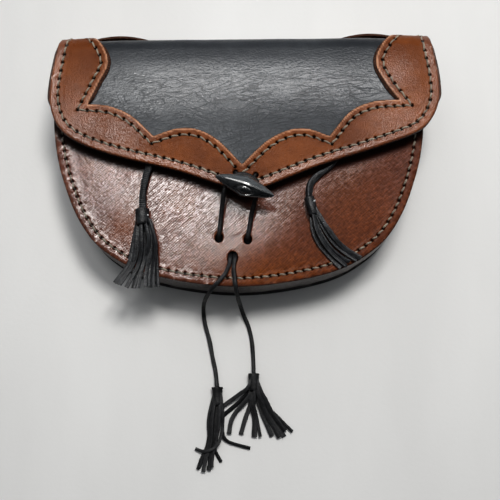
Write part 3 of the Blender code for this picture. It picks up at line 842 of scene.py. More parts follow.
@dataclass
class Outline:
    """The D outline that the back, the gusset and the front share."""

    x: float = -3.4  # the body lies left of the flap's middle
    side: tuple = (  # half width and y, from the top down
        (103.8, 52.0), (104.6, 30.0), (103.2, 8.0), (98.5, -13.4),
        (88.2, -38.7), (73.5, -56.5), (46.7, -70.0), (0.0, -76.5),
    )
    step: float = 1.6

    def curve(self) -> Array:
        """The outline from its right top corner round the bottom to the left one."""
        left = [(-width, y) for width, y in self.side[-2::-1]]
        return spaced(smooth([*self.side, *left], 12), self.step) + np.array((self.x, 0.0))

    def closed(self, top_y: float) -> Array:
        """Closes the outline with a straight top edge.

        Args:
            top_y: the y of that edge.

        Returns:
            The closed outline.
        """
        side = self.curve()
        top = spaced(np.array([(side[-1][0], top_y), (side[0][0], top_y)]), self.step)
        return np.vstack((side, top[1:-1] if top_y - side[0][1] < GAP else top))


@dataclass
class FrontForm:
    """The front panel's crowned form."""

    outline: Outline = field(default_factory=Outline)
    top_y: float = 52.0
    thickness: float = 2.2
    edge_z: float = 34.2
    crown: float = 3.0
    margin: float = 0.9  # the share of the way to the edge where the crown ends
    middle: tuple[float, float] = (-3.4, -12.0)

    def __post_init__(self) -> None:
        """Sorts the outline by its angle about the middle."""
        spokes = self.outline.closed(self.top_y) - np.array(self.middle)
        angles = np.arctan2(spokes[:, 1], spokes[:, 0])
        order = np.argsort(angles)
        self.angles = angles[order]
        self.reach = np.linalg.norm(spokes, axis=1)[order]

    def top(self, x: Array | float, y: Array | float) -> Array:
        """Works out the height of the panel's outer face.

        Args:
            x: where on the panel, along x.
            y: where on the panel, along y.

        Returns:
            The height at each place.
        """
        across, down = x - self.middle[0], y - self.middle[1]
        edge = np.interp(np.arctan2(down, across), self.angles, self.reach, period=math.tau)
        share = np.hypot(across, down) / edge
        return self.edge_z + self.crown * np.maximum(0, 1 - (share / self.margin) ** 2)

    def laid(self, x: float, y: float, radius: float, z: Optional[float]) -> tuple:
        """A place of a lace of this radius, on the face where it has no height of its own."""
        return x, y, float(self.top(x, y)) + GAP + radius if z is None else z

    def place(self, x: Array, y: Array, lift: Array | float) -> Array:
        """Gives where points lie, this far above the panel's middle surface."""
        return np.column_stack((x, y, self.top(x, y) - self.thickness / 2 + lift))


@dataclass
class FlatForm:
    """A flat form at one height."""

    z: float

    def place(self, x: Array, y: Array, lift: Array | float) -> Array:
        """Gives where points lie, this far above the form."""
        return np.column_stack((x, y, self.z + lift))


@dataclass
class FlapForm:
    """The flap's form: down the front, round both bends and inside the back."""

    bend_y: float = 57.1  # where the front bend starts
    front_radius: float = 10.0
    back_radius: float = 8.0
    front_z: float = 40.5
    strip_z: float = 3.7
    strip_end_y: float = 34.0
    tip_y: float = -27.0
    half_width: float = 108.0
    swell: float = 1.6  # how far the front bulges, most a part of the way down
    swell_reach: float = 1.1
    swell_skew: float = 0.8
    droop: float = 2.5  # how far its sides sink
    droop_rate: float = 2.2
    tip_rise: float = 0.6
    corner_pull: float = 1.7  # how far the roll lies back at both ends
    corner_start: float = 68.0

    def __post_init__(self) -> None:
        """Works out how far along the flap each stretch ends."""
        self.band_y = self.bend_y + self.front_radius
        self.band_top = self.front_z - self.front_radius
        self.band_low = self.strip_z + self.back_radius
        self.band_start = self.bend_y + self.front_radius * math.pi / 2
        self.band_end = self.band_start + self.band_top - self.band_low
        self.strip_start = self.band_end + self.back_radius * math.pi / 2
        self.strip_end = self.strip_start + self.band_y - self.back_radius - self.strip_end_y

    def pull(self, x: Array) -> Array:
        """How far the roll and the top band lie back from their full height."""
        return self.corner_pull * ease(np.abs(x), self.corner_start, self.half_width)

    def place(self, x: Array, y: Array, lift: Array | float) -> Array:
        """Gives where the pattern's points lie.

        Args:
            x: each point's place across the flap.
            y: its place along the flap, from the tip up and over.
            lift: how far it is above the flap's middle surface.

        Returns:
            Each point's place.
        """
        down = (self.bend_y - y) / (self.bend_y - self.tip_y)
        rise = np.clip(self.swell_reach * down, 0, 1) ** self.swell_skew
        fall = self.droop * (x / self.half_width) ** 2 * np.clip(self.droop_rate * down, 0, 1)
        face_z = self.front_z + self.swell * np.sin(math.pi * rise) - fall + lift
        face_z = face_z + self.tip_rise * np.maximum(down, 0)
        front, near = (y - self.bend_y) / self.front_radius, self.front_radius + lift
        back, far = (y - self.band_end) / self.back_radius, self.back_radius + lift
        centre_y = self.band_y - self.back_radius
        # Each stretch's y and z: the face, the front bend, the band and the back bend.
        stretches = (
            (y, face_z),
            (self.bend_y + near * np.sin(front), self.band_top + near * np.cos(front)),
            (self.band_y + lift, self.band_top - (y - self.band_start)),
            (centre_y + far * np.cos(back), self.band_low - far * np.sin(back)),
        )
        ends = (self.bend_y, self.band_start, self.band_end, self.strip_start)
        where = [y <= end for end in ends]
        ys, zs = ([part + 0 * y for part in parts] for parts in zip(*stretches))
        along = np.select(where, ys, centre_y - (y - self.strip_start))
        z = np.select(where, zs, self.band_low - far)
        return np.column_stack((x, along - self.pull(x) * np.clip(along / self.bend_y, 0, 1), z))


@dataclass
class Lifted:
    """A form raised above another."""

    form: Form
    lift: float

    def place(self, x: Array, y: Array, lift: Array | float) -> Array:
        """Gives where points lie, this far above the raised form."""
        return self.form.place(x, y, lift + self.lift)


@dataclass
class GussetForm:
    """The side band's form: its flanges lie on the back and under the front."""

    outline: Outline = field(default_factory=Outline)
    thickness: float = 1.4
    back_z: float = 3.4
    front_z: float = 31.0
    wall: float = -1.6  # how far outside the outline the band stands
    bend: float = 2.2
    bulge: float = 0.9
    flange: float = -9.0
    step: float = 0.5  # along the section

    def __post_init__(self) -> None:
        """Draws the band's path and its section."""
        self.path = self.outline.curve()
        along = np.gradient(self.path, axis=0)
        self.outward = np.column_stack((-along[:, 1], along[:, 0]))
        self.outward /= np.linalg.norm(self.outward, axis=1)[:, None]
        if self.outward[len(self.path) // 2][1] > 0:
            self.outward = -self.outward
        steps = np.linalg.norm(np.diff(self.path, axis=0), axis=1)
        self.along = np.concatenate(([0.0], np.cumsum(steps)))
        start, low = self.wall - self.bend, self.back_z
        back = [
            (start + self.bend * math.sin(a), low + self.bend * (1 - math.cos(a)))
            for a in np.radians(np.linspace(0, 90, 6))
        ]
        middle = (self.back_z + self.front_z) / 2
        front = [(out, 2 * middle - z) for out, z in reversed(back)]
        foot, height = back[-1][1], front[0][1] - back[-1][1]
        belly = [
            (self.wall + self.bulge * math.sin(math.pi * t), foot + height * t)
            for t in np.linspace(0, 1, 9)[1:-1]
        ]
        section = [(self.flange, self.back_z), *back, *belly, *front, (self.flange, self.front_z)]
        self.section = spaced(np.array(section), self.step)
        self.down = np.arange(len(self.section)) * self.step
        slope = np.gradient(self.section, axis=0)
        slope /= np.linalg.norm(slope, axis=1)[:, None]
        self.normal = np.column_stack((slope[:, 1], -slope[:, 0]))

    def size(self) -> tuple[float, float]:
        """The flat band's length and width."""
        return float(self.along[-1]), float(self.down[-1])

    def place(self, x: Array, y: Array, lift: Array | float) -> Array:
        """Gives where the flat band's points lie.

        Args:
            x: each point's place along the band.
            y: its place across the band.
            lift: how far it is outside the band's middle surface.

        Returns:
            Each point's place.
        """
        base = np.column_stack([np.interp(x, self.along, axis) for axis in self.path.T])
        out = np.column_stack([np.interp(x, self.along, axis) for axis in self.outward.T])
        far, z = (np.interp(y, self.down, axis) for axis in self.section.T)
        tilt, rise = (np.interp(y, self.down, axis) for axis in self.normal.T)
        flat = base + out * (far + tilt * lift)[:, None]
        return np.column_stack((flat, z + rise * lift))


@dataclass
class LoopForm:
    """A hanger loop's form: both feet on the top band, arched between them."""

    flap: FlapForm
    left: float
    right: float
    seat_y: float = 69.5
    rise: float = 5.0
    foot: float = 6.0
    slope: float = 10.5  # how far in from a foot it has left the band's pull
    fullness: float = 0.75
    ease_in: float = 3.0

    def place(self, x: Array, y: Array, lift: Array | float) -> Array:
        """Gives where the strip's points lie.

        Args:
            x: each point's place along the strip.
            y: its place across the strip, which becomes its height.
            lift: how far it is outside the strip's middle surface.

        Returns:
            Each point's place.
        """
        length = self.right - self.left
        share = (x - self.left) / length
        from_end = length * np.minimum(share, 1 - share) - self.foot
        reach = length / 2 - self.foot
        up = np.sin(math.pi / 2 * np.clip(from_end / reach, 0, 1)) ** self.fullness
        up = up * ease(from_end, 0, self.ease_in)
        seat = self.seat_y - self.flap.pull(x) * (1 - np.clip(from_end / self.slope, 0, 1))
        return np.column_stack((x, seat + self.rise * up + lift, y))


# ---------------------------------------------------------------- leather and stitches


@dataclass
class Seam:
    """A row of saddle stitches."""

    line: Array
    pitch: float
    lean: float = 0.3  # how far a stitch's ends lie to either side of the line
    inset: float = 0.85  # how far they lie from the holes' middles
    thread: float = 0.52
    seed: int = 3
    shortest: float = 1.0
    profile: tuple = (
        # share of the stitch's length, height over the leather's face, and share of its thickness
        (0.0, -0.95, 0.8), (0.1, -0.25, 0.95), (0.28, 0.12, 1.0), (0.5, 0.2, 1.0),
        (0.72, 0.12, 1.0), (0.9, -0.25, 0.95), (1.0, -0.95, 0.8),
    )

    def __post_init__(self) -> None:
        """Places the stitch holes, with one at each sharp corner."""
        spans = [spaced(span, self.pitch) for span in corner_spans(self.line)]
        self.holes = np.vstack([*(span[:-1] for span in spans), spans[-1][-1:]])

    def stitches(self, form: Form, face: float, skip: Sequence = ()) -> Mesh:
        """Sews the row.

        Args:
            form: what the leather is laid over.
            face: how far the leather's outer face lies above the form.
            skip: places with a radius where no stitch shows.

        Returns:
            The threads' mesh.
        """
        bm = bmesh.new()
        draw = random.Random(self.seed)
        share, height, swell = np.array(self.profile).T
        for start, end in zip(self.holes, self.holes[1:]):
            lean = self.lean * draw.uniform(0.5, 1.5)
            inset = self.inset * draw.uniform(0.75, 1.2)
            reach = end - start
            length = np.linalg.norm(reach)
            middle = (start + end) / 2
            hidden = any(math.dist(middle, (x, y)) < radius for x, y, radius in skip)
            if length < self.shortest or hidden:
                continue
            way = reach / length
            across = np.array((-way[1], way[0])) * lean
            first, last = start + way * inset + across, end - way * inset - across
            flat = first + (last - first) * share[:, None]
            radius = self.thread * draw.uniform(0.88, 1.08) * swell
            path = form.place(flat[:, 0], flat[:, 1], face + height)
            add_sweep(bm, path, radius, radius, sides=7)
        return bm


@dataclass(frozen=True)
class Press:
    """How stitching presses into a leather's face: each value is a depth and its reach."""

    hole: float = 0.95
    hole_reach: tuple[float, float] = (0.3, 1.15)  # as shares of the awl's size
    lip: tuple[float, float, float] = (0.27, 1.45, 0.38)  # its height, place and width
    dip: tuple[float, float] = (0.24, 1.9)
    channel: tuple[float, float] = (0.16, 0.75)
    painted_shade_reach: tuple[float, float] = (0.7, 1.3)  # where the hole's shade is painted, as shares of the awl's size
    far: float = 9.0  # where nothing is pressed any more

    def make(self, flat: Array, seams: Sequence[Seam], awl: float) -> tuple[Array, Array]:
        """Works out the relief round the stitches.

        Args:
            flat: the face's flat places.
            seams: its rows of stitches.
            awl: the size of their holes.

        Returns:
            How far each place is raised, and how much painted shade its hole has.
        """
        near = np.full(len(flat), self.far)
        for x, y in np.vstack([seam.holes for seam in seams]):
            near = np.minimum(near, np.hypot(flat[:, 0] - x, flat[:, 1] - y))
        channel = np.minimum.reduce([distance_to(flat, seam.line) for seam in seams])
        lift = -self.hole * (1 - ease(near, *(awl * share for share in self.hole_reach)))
        lift += self.lip[0] * hill(near, *self.lip[1:]) - self.dip[0] * hill(near, 0, self.dip[1])
        lift -= self.channel[0] * hill(channel, 0, self.channel[1])
        return lift, 1 - ease(near, *(awl * share for share in self.painted_shade_reach))


@dataclass
class Sheet:
    """A cut piece of leather, given its thickness and laid over a form."""

    name: str
    outline: Array
    form: Form
    thickness: float
    cell: float
    rim: float = 0.7  # radius of the face's rounded edge
    seams: Sequence[Seam] = ()
    holes: Sequence[tuple[float, float, float, float]] = ()  # x, y, radius, lean in degrees
    relief: Mask = None
    warm: Mask = None  # where the face is burnished
    wax: Mask = None  # where it is polished
    painted_shadow: Mask = None  # where a shadow is painted on it, dark and dull
    skive: Mask = None  # how far the cut edge slopes outwards
    awl: float = 0.98  # size of a stitch hole
    fine: int = 2  # cuts of the cells beside a hole
    rim_width: float = 1.0
    worn: Optional[Array] = None  # the edge whose rim is worn, or all of it
    creases: Sequence[Array] = ()  # lines along which the cells are finer
    crease_step: float = 1.5
    rim_steps: tuple = (0.1, 0.18, 0.26, 0.36)  # widths of the cells along the rim
    fine_reach: tuple[float, float, float] = (1.6, 1.1, 0.6)  # shares of radius, 1 mm and a cell
    lean_reach: float = 3.5  # how far round a slanted hole the leather leans with it
    # How dark the painted shadow is.
    painted_shadow_strength: float = 0.88

    def build(
        self, finish: Material, slot: Slot, stands_for: Sequence[str] = ()
    ) -> bpy.types.Object:
        """Cuts, thickens, shapes and lays the piece.

        Args:
            finish: its material.
            slot: the record's slot for that material; not used.
            stands_for: the model's nodes that it replaces.

        Returns:
            The object.
        """
        bm = self.lattice()
        self.open_holes(bm)
        made = bmesh.ops.extrude_face_region(bm, geom=list(bm.faces))["geom"]
        upper = {v for v in made if isinstance(v, bmesh.types.BMVert)}
        side = np.array([1.0 if v in upper else -1.0 for v in bm.verts])
        flat = np.array([v.co.xy for v in bm.verts])
        edge = distance_to(flat, np.vstack((self.outline, self.outline[:1])))
        for hole in self.holes:
            edge = np.minimum(edge, np.maximum(self.from_hole(flat, hole) - hole[2], 0))
        drop = self.rim - np.sqrt(self.rim**2 - (self.rim - np.minimum(edge, self.rim)) ** 2)
        lift = side * (self.thickness / 2 - drop)
        top, pit = side > 0, np.zeros(len(flat))
        if self.seams:
            press, pit = Press().make(flat, self.seams, self.awl)
            lift, pit = lift + np.where(top, press, 0), pit * top
        if self.relief:
            lift = lift + np.where(top, self.relief(flat) * ease(edge, 0.0, 1.5), 0)
        # Painted shadow, darkening the face through the same mask as the stitch holes' painted
        # shade.
        if self.painted_shadow:
            pit = np.maximum(pit, self.painted_shadow_strength * self.painted_shadow(flat) * top)
        lean = self.leans(flat, lift)
        if self.skive:
            flat = flat + self.slopes(flat, (side < 0) & (edge < 0.05))
        worn = edge if self.worn is None else distance_to(flat, self.worn)
        none = np.zeros(len(flat))
        masks = {
            "pit": pit,
            "rim": np.where(top, 1 - ease(worn, self.rim_width * 0.7, self.rim_width), 0),
            "wall": np.where(top, 1 - ease(edge, 0.02, 0.2), np.maximum(0.75, 1 - edge)),
            "wax": self.wax(flat) if self.wax else none,
            "warm": self.warm(flat) if self.warm else none,
        }
        for vert, place in zip(bm.verts, self.form.place(flat[:, 0], flat[:, 1] + lean, lift)):
            vert.co = place
        return finished(self.name, bm, finish, stands_for, masks)

    def lattice(self) -> Mesh:
        """Cuts the flat outline into small cells, finer round the holes and the creases.

        Returns:
            The flat mesh.
        """
        bm = bmesh.new()
        bmesh.ops.create_circle(bm, cap_ends=True, segments=len(self.outline), radius=1.0)
        for vert, (x, y) in zip(bm.verts, self.outline):
            vert.co = (x, y, 0)
        inner = list(bm.faces)
        for step in self.rim_steps:
            bmesh.ops.inset_region(bm, faces=inner, thickness=step, use_even_offset=True)
        low, high = self.outline.min(0), self.outline.max(0)
        for axis in (0, 1):
            count = math.ceil((high[axis] - low[axis]) / self.cell)
            normal = Vector((1 - axis, axis, 0))
            for k in range(1, count):
                place = normal * float(low[axis] + (high[axis] - low[axis]) * k / count)
                cut = dict(geom=[*bm.verts, *bm.edges, *bm.faces], dist=self.cell * 0.12)
                bmesh.ops.bisect_plane(bm, plane_co=place, plane_no=normal, **cut)
        self.triangulate(bm)
        marks = [(*place, 0.0) for seam in self.seams for place in seam.holes]
        marks += [hole[:3] for hole in self.holes]
        for line in self.creases:
            marks += [(*place, 0.0) for place in spaced(line, self.crease_step)]
        if marks:
            self.refine(bm, np.array(marks))
        return bm

    def refine(self, bm: Mesh, marks: Array) -> None:
        """Cuts the cells near some places into finer ones.

        Args:
            bm: the flat mesh.
            marks: the places, as x, y and a radius.
        """
        share, margin, cells = self.fine_reach
        corners = self.centres(bm)
        near = np.zeros(len(corners), bool)
        for x, y, radius in marks:
            reach = radius * share + margin + self.cell * cells
            near |= np.linalg.norm(corners - (x, y), axis=1) < reach
        chosen = dict.fromkeys(e for face, on in zip(bm.faces, near) if on for e in face.edges)
        bmesh.ops.subdivide_edges(bm, edges=list(chosen), cuts=self.fine, use_grid_fill=True)
        self.triangulate(bm)

    @staticmethod
    def centres(bm: Mesh) -> Array:
        """The flat middle of each face."""
        return np.array([(*face.calc_center_median().xy,) for face in bm.faces])

    @staticmethod
    def triangulate(bm: Mesh) -> None:
        """Splits the faces with more than four corners."""
        bmesh.ops.triangulate(bm, faces=[face for face in bm.faces if len(face.verts) > 4])

    @staticmethod
    def from_hole(flat: Array, hole: tuple) -> Array:
        """How far flat points lie from a slanted hole's middle, in its own round measure."""
        x, y, _, lean = hole
        return np.hypot(flat[:, 0] - x, (flat[:, 1] - y) * math.cos(math.radians(lean)))

    def open_holes(self, bm: Mesh) -> None:
        """Takes out the faces inside each lace hole and rounds its edge.

        Args:
            bm: the flat mesh.
        """
        for hole in self.holes:
            x, y, radius, _ = hole
            inside = self.from_hole(self.centres(bm), hole) < radius
            gone = [face for face, drop in zip(bm.faces, inside) if drop]
            bmesh.ops.delete(bm, geom=gone, context="FACES")
            edge = [v for v in bm.verts if v.is_boundary]
            reach = self.from_hole(np.array([v.co.xy for v in edge]), hole)
            for vert, far in zip(edge, reach):
                if far < radius + 1.0:
                    vert.co.x = x + (vert.co.x - x) * radius / far
                    vert.co.y = y + (vert.co.y - y) * radius / far
        lone = [v for v in bm.verts if not v.link_faces]
        bmesh.ops.delete(bm, geom=lone, context="VERTS")

    def slopes(self, flat: Array, low: Array) -> Array:
        """Works out how far the cut edge's lower corners shift outwards.

        Args:
            flat: every corner's place on the pattern.
            low: which of them are the cut edge's lower corners.

        Returns:
            Each corner's shift.
        """
        along = np.roll(self.outline, -1, axis=0) - np.roll(self.outline, 1, axis=0)
        normals = np.column_stack((along[:, 1], -along[:, 0]))
        normals /= np.linalg.norm(normals, axis=1)[:, None]
        x, y = self.outline.T
        turns = np.sum(x * np.roll(y, -1) - y * np.roll(x, -1))
        shift = np.zeros_like(flat)
        found = flat[low]
        nearest = np.linalg.norm(found[:, None] - self.outline, axis=2).argmin(1)
        shift[low] = normals[nearest] * np.sign(turns) * self.skive(found)[:, None]
        return shift

    def leans(self, flat: Array, lift: Array) -> Array:
        """Works out how far each point shifts in y because a slanted hole passes near it.

        Args:
            flat: every corner's place on the pattern.
            lift: how far it is above the leather's middle surface.

        Returns:
            Each corner's shift.
        """
        shift = np.zeros(len(flat))
        for hole in self.holes:
            share = 1 - ease(self.from_hole(flat, hole), hole[2], hole[2] + self.lean_reach)
            shift -= math.tan(math.radians(hole[3])) * lift * share
        return shift


# ---------------------------------------------------------------- studio


@dataclass(frozen=True)
class Lamp:
    """A soft rectangular lamp above the pouch."""

    name: str
    x: float
    y: float
    aim: tuple[float, float, float]
    size: tuple[float, float]  # across and along
    power: float
    turn: float = 0.0
    lights: bool = False  # whether it lights the pouch or only gleams on it
    z: float = 1040.0
    colour: Colour = (1.0, 0.985, 0.965)

    def hang(self) -> None:
        """Adds the lamp to the scene."""
        lamp = bpy.data.lights.new(self.name, "AREA")
        lamp.shape = "RECTANGLE"
        lamp.size, lamp.size_y = (side * MM for side in self.size)
        lamp.energy, lamp.color = self.power, self.colour
        place = Vector((self.x, self.y, self.z))
        way = (Vector(self.aim) - place).to_track_quat("-Z", "Y").to_matrix()
        way = Matrix.Rotation(math.radians(self.turn), 3, "Z") @ way
        obj = linked(self.name, lamp)
        obj.matrix_world = Matrix.Translation(place * MM) @ way.to_4x4()
        obj.visible_diffuse, obj.visible_glossy = self.lights, not self.lights


@dataclass
class Studio:
    """The camera, the lights and the floor."""

    camera_at: tuple = (2.1, -143.4, 442.7)
    aim: tuple = (2.1, -58.75, 44.3)
    roll: float = -0.6
    field_of_view: float = 36.0
    clip: tuple[float, float] = (0.01, 20)
    lamps: tuple = (
        Lamp("main", 180, 340, (0, -30, 30), (320, 250), 8.8, lights=True),
        Lamp("window", 0, 590, (0, 30, 30), (620, 150), 4.4),
        Lamp("strip", 103, 615, (0, -25, 55), (1900, 34), 2.7, turn=-20.5),
        Lamp("card", -270, 170, (-40, -30, 30), (430, 130), 3.2),
        Lamp("lamp", -130, 185, (-20, -30, 30), (150, 130), 4.4),
        Lamp("left", -360, 380, (-60, 0, 30), (160, 170), 1.0),
        Lamp("right", 390, 430, (60, 0, 30), (160, 220), 3.4),
    )
    fade: tuple = (-0.7, 0.5, 0.03, 0.5)  # the room, from behind the camera to the far side
    room: tuple = (0.93, 0.965, 1.0, 1.0)
    look: str = "Medium High Contrast"
    floor: Colour = (0.645, 0.642, 0.632)
    floor_shade: float = 0.93  # how dark its darker spots are
    floor_size: float = 4.0
    floor_z: float = -0.0002

    def camera(self) -> None:
        """Sets the camera at the photograph's viewing angle."""
        data = bpy.data.cameras.new("camera")
        data.lens = data.sensor_width / 2 / math.tan(math.radians(self.field_of_view) / 2)
        data.clip_start, data.clip_end = self.clip
        back = (Vector(self.camera_at) - Vector(self.aim)).normalized()
        right = Vector((1, 0, 0))
        turn = Matrix.Rotation(math.radians(self.roll), 3, back)
        axes = Matrix((turn @ right, turn @ back.cross(right), back)).transposed()
        obj = linked("camera", data)
        obj.matrix_world = Matrix.Translation(Vector(self.camera_at) * MM) @ axes.to_4x4()
        bpy.context.scene.camera = obj

    def lights(self) -> None:
        """Hangs the soft lamps round the pouch, in a dim pale room."""
        for lamp in self.lamps:
            lamp.hang()
        world = bpy.data.worlds.new("room")
        world.use_nodes = True
        nodes, links = world.node_tree.nodes, world.node_tree.links
        way = nodes.new("ShaderNodeSeparateXYZ")
        links.new(nodes.new("ShaderNodeTexCoord").outputs["Generated"], way.inputs[0])
        fade = nodes.new("ShaderNodeMapRange")
        links.new(way.outputs["Y"], fade.inputs["Value"])
        for name, value in zip(("From Min", "From Max", "To Min", "To Max"), self.fade):
            fade.inputs[name].default_value = value
        shade = nodes["Background"]
        shade.inputs["Color"].default_value = self.room
        links.new(fade.outputs["Result"], shade.inputs["Strength"])
        bpy.context.scene.world = world
        view = bpy.context.scene.view_settings
        view.view_transform, view.look = "Standard", self.look

    def ground(self) -> None:
        """Lays the plain pale floor."""
        net = Net("floor")
        tone = net.fitted(net.noise(9, 5, net.stretched((1.6, 0.5, 1))), 0.35, 0.65, (0, 1))
        shade = tuple(c * self.floor_shade for c in self.floor)
        net.set(base_color=net.mix(tone, self.floor, shade))
        net.set(roughness=0.55, normal=net.bump(net.noise(420, 5), 0.05))
        bm = bmesh.new()
        bmesh.ops.create_grid(bm, x_segments=1, y_segments=1, size=self.floor_size)
        bmesh.ops.translate(bm, verts=bm.verts, vec=(0, 0, self.floor_z))
        mesh = bpy.data.meshes.new("floor")
        bm.to_mesh(mesh)
        bm.free()
        mesh.materials.append(net.material)
        linked("floor", mesh)


# ---------------------------------------------------------------- laces and tassels


@dataclass(frozen=True)
class PanelHole:
    """A slanted hole through the front panel."""

    x: float
    y: float
    radius: float
    lean: float  # in degrees

    def through(self, front: FrontForm, steps: Sequence[float], aside: float = 0.0) -> list[Array]:
        """Gives points up through the hole.

        Args:
            front: the panel's form.
            steps: how far each point is from the hole's middle.
            aside: how far they lie to its right.

        Returns:
            The points.
        """
        angle = math.radians(self.lean)
        z = float(front.top(self.x, self.y) - front.thickness / 2)
        way = np.array((0, -math.sin(angle), math.cos(angle)))
        return [np.array((self.x + aside, self.y, z)) + way * step for step in steps]

    def row(self) -> tuple[float, float, float, float]:
        """The hole as a sheet reads it."""
        return self.x, self.y, self.radius, self.lean


LOOP_LEFT_HOLE = PanelHole(-14.7, -50.4, 2.1, -40.0)
LOOP_RIGHT_HOLE = PanelHole(0.9, -51.5, 2.1, -40.0)
LOW_HOLE = PanelHole(-7.4, -60.4, 2.7, 40.0)
LEFT_HOLE = PanelHole(-50.2, 1.0, 2.4, 45.0)
RIGHT_HOLE = PanelHole(52.6, -1.0, 2.4, 45.0)
PANEL_HOLES = (LOOP_LEFT_HOLE, LOOP_RIGHT_HOLE, LOW_HOLE, LEFT_HOLE, RIGHT_HOLE)


def ball(radius: float, place: Sequence[float]) -> Mesh:
    """Makes a small ball.

    Args:
        radius: its radius.
        place: its middle.

    Returns:
        The ball's mesh.
    """
    bm = bmesh.new()
    bmesh.ops.create_icosphere(bm, subdivisions=3, radius=radius)
    bmesh.ops.translate(bm, verts=bm.verts, vec=place)
    return bm


@dataclass
class Tassel:
    """A rolled leather tassel: a sleeve whose lower part is cut into laces."""

    name: str
    start: tuple[float, float]
    end: tuple[float, float]
    radius: float
    laces: tuple  # each one's layer from -1 to 1, its half width and its path
    front: Optional[FrontForm] = None  # the form that it lies on, or the floor where none
    mouth: tuple = ((0.3, 0.0), (0.3, 0.66), (0.05, 0.74))  # shares of its length and its radius
    sleeve: tuple = ((-0.02, 0.97), (0.02, 1.0), (0.3, 0.98), (0.65, 1.0), (0.85, 0.95))
    tuck: tuple = ((1.0, 0.96), (1.06, 0.88), (1.1, 0.7), (1.1, 0.0))  # sunk among the laces
    overlap: tuple[float, float] = (0.075, 0.8)  # the step where its edge ends, and its curve
    overlap_angle: float = 0.9
    overlap_from: float = 0.8  # the share of the radius past which a ring has the step
    sides: int = 48
    clear: float = 0.1  # between the tassel and what it lies on
    half_height: float = 0.55  # of a lace
    depth: float = 2.0  # how far up the sleeve a lace starts
    gather: float = 0.55  # how near to the axis, as a share of its way out
    inner_layers: float = 0.4  # how far the layers part there, as a share of the radius
    outer_layers: float = 0.62  # and where they leave it
    sink: tuple[float, float] = (0.1, 0.75)  # where along a lace it sinks
    pin: Optional[tuple[float, float]] = None
    pin_radius: float = 0.5
    painted_hole_shade: bool = False  # whether a dark ball of painted shade stands for a hole at the pin's place, the pale pin below it being a painted highlight on the hole's lower lip
    painted_hole_shade_shift: tuple[float, float, float] = (-0.35, 0.45, 0.05)
    painted_hole_shade_size: float = 1.15
    seed: int = 1

    def ground(self, x: float, y: float) -> float:
        """The height of what the tassel lies on."""
        return float(self.front.top(x, y)) + GAP if self.front else 0.0

    def middle(self) -> float:
        """The height of the sleeve's axis."""
        return self.ground(*self.start) + self.radius + self.clear

    def axis_x(self, y: float) -> float:
        """The x of the sleeve's axis at this y."""
        return float(np.interp(y, (self.end[1], self.start[1]), (self.end[0], self.start[0])))

    def lace(self, layer: float, places: Sequence) -> Array:
        """Draws one lace, which leaves the sleeve in its layer and sinks to the ground.

        Args:
            layer: how high it lies among the others, from -1 to 1.
            places: the x and y that it passes through, and its height where it crosses others.

        Returns:
            The lace's path.
        """
        low = self.half_height * (layer + 2)
        high = self.radius * (1 + layer * self.outer_layers)
        x, y = places[0][:2]
        axis = self.axis_x(y)
        inside = self.middle() + layer * self.radius * self.inner_layers
        route = [(axis + (x - axis) * self.gather, y + self.depth, inside)]
        for k, (x, y, *over) in enumerate(places):
            sunk = float(ease(k / (len(places) - 1), *self.sink))
            lift = over[0] if over else high + (low - high) * sunk
            route.append((x, y, self.ground(x, y) + self.clear + lift))
        return spaced(smooth(route, 8), 1.0)

    def add_sleeve(self, bm: Mesh) -> None:
        """Adds the rolled sleeve, open at its top, with the step where its edge overlaps.

        Args:
            bm: the mesh that gains it.
        """
        start, reach = np.array(self.start), np.array(self.end) - np.array(self.start)
        angles = np.linspace(0, math.tau, self.sides + 1)
        depth, curve = self.overlap
        grow = (1.0 - depth * (angles / math.tau) ** curve)[:, None]
        turn = (angles + self.overlap_angle)[:, None]
        side = np.array((-reach[1], reach[0], 0)) / np.linalg.norm(reach)
        ring = np.cos(turn) * side + np.sin(turn) * np.array((0, 0, 1.0))
        rows = []
        for share, size in (*self.mouth, *self.sleeve, *self.tuck):
            middle = np.array((*(start + reach * share), self.middle()))
            wall = ring * self.radius * size * (grow if size > self.overlap_from else 1.0)
            rows.append(middle + np.vstack((wall, wall[:1])))
        add_grid(bm, np.array(rows))

    def build(self, finish: Material, pin_finish: Material) -> list[bpy.types.Object]:
        """Builds the sleeve with its laces, and its pin where it has one, with a dark ball of
        painted hole shade beside it where asked.

        Args:
            finish: the laces' material.
            pin_finish: the pin's.

        Returns:
            The objects.
        """
        draw = random.Random(self.seed)
        bm = bmesh.new()
        self.add_sleeve(bm)
        for layer, half_width, places in self.laces:
            path = self.lace(layer, places)
            share = np.linspace(0, 1, len(path))
            tilt = draw.uniform(-0.35, 0.35) + draw.uniform(-0.5, 0.5) * share
            uneven = 1 + 0.04 * np.sin(share * 21 + draw.random() * 9)
            wide = half_width * (0.8 + 0.22 * ease(share, 0, 0.5)) * uneven
            add_sweep(bm, path, wide, self.half_height, 12, 5.0, roll=tilt)
        made = [finished(self.name + "_laces", bm, finish, [self.name], sharp=42)]
        if self.pin:
            x, y = self.pin
            rise = math.sqrt(max(0.3, self.radius**2 - (x - self.axis_x(y)) ** 2))
            place = Vector((x, y, self.middle() + rise))
            # A dark ball as the painted shade of a hole, which leaves the pale pin showing as a
            # painted highlight on its lower lip.
            if self.painted_hole_shade:
                hole = ball(self.pin_radius * self.painted_hole_shade_size, place + Vector(self.painted_hole_shade_shift))
                made.append(finished(self.name + "_eyelet", hole, finish))
            pin = ball(self.pin_radius, place)
            made.append(finished(self.name + "_pin", pin, pin_finish))
        return made


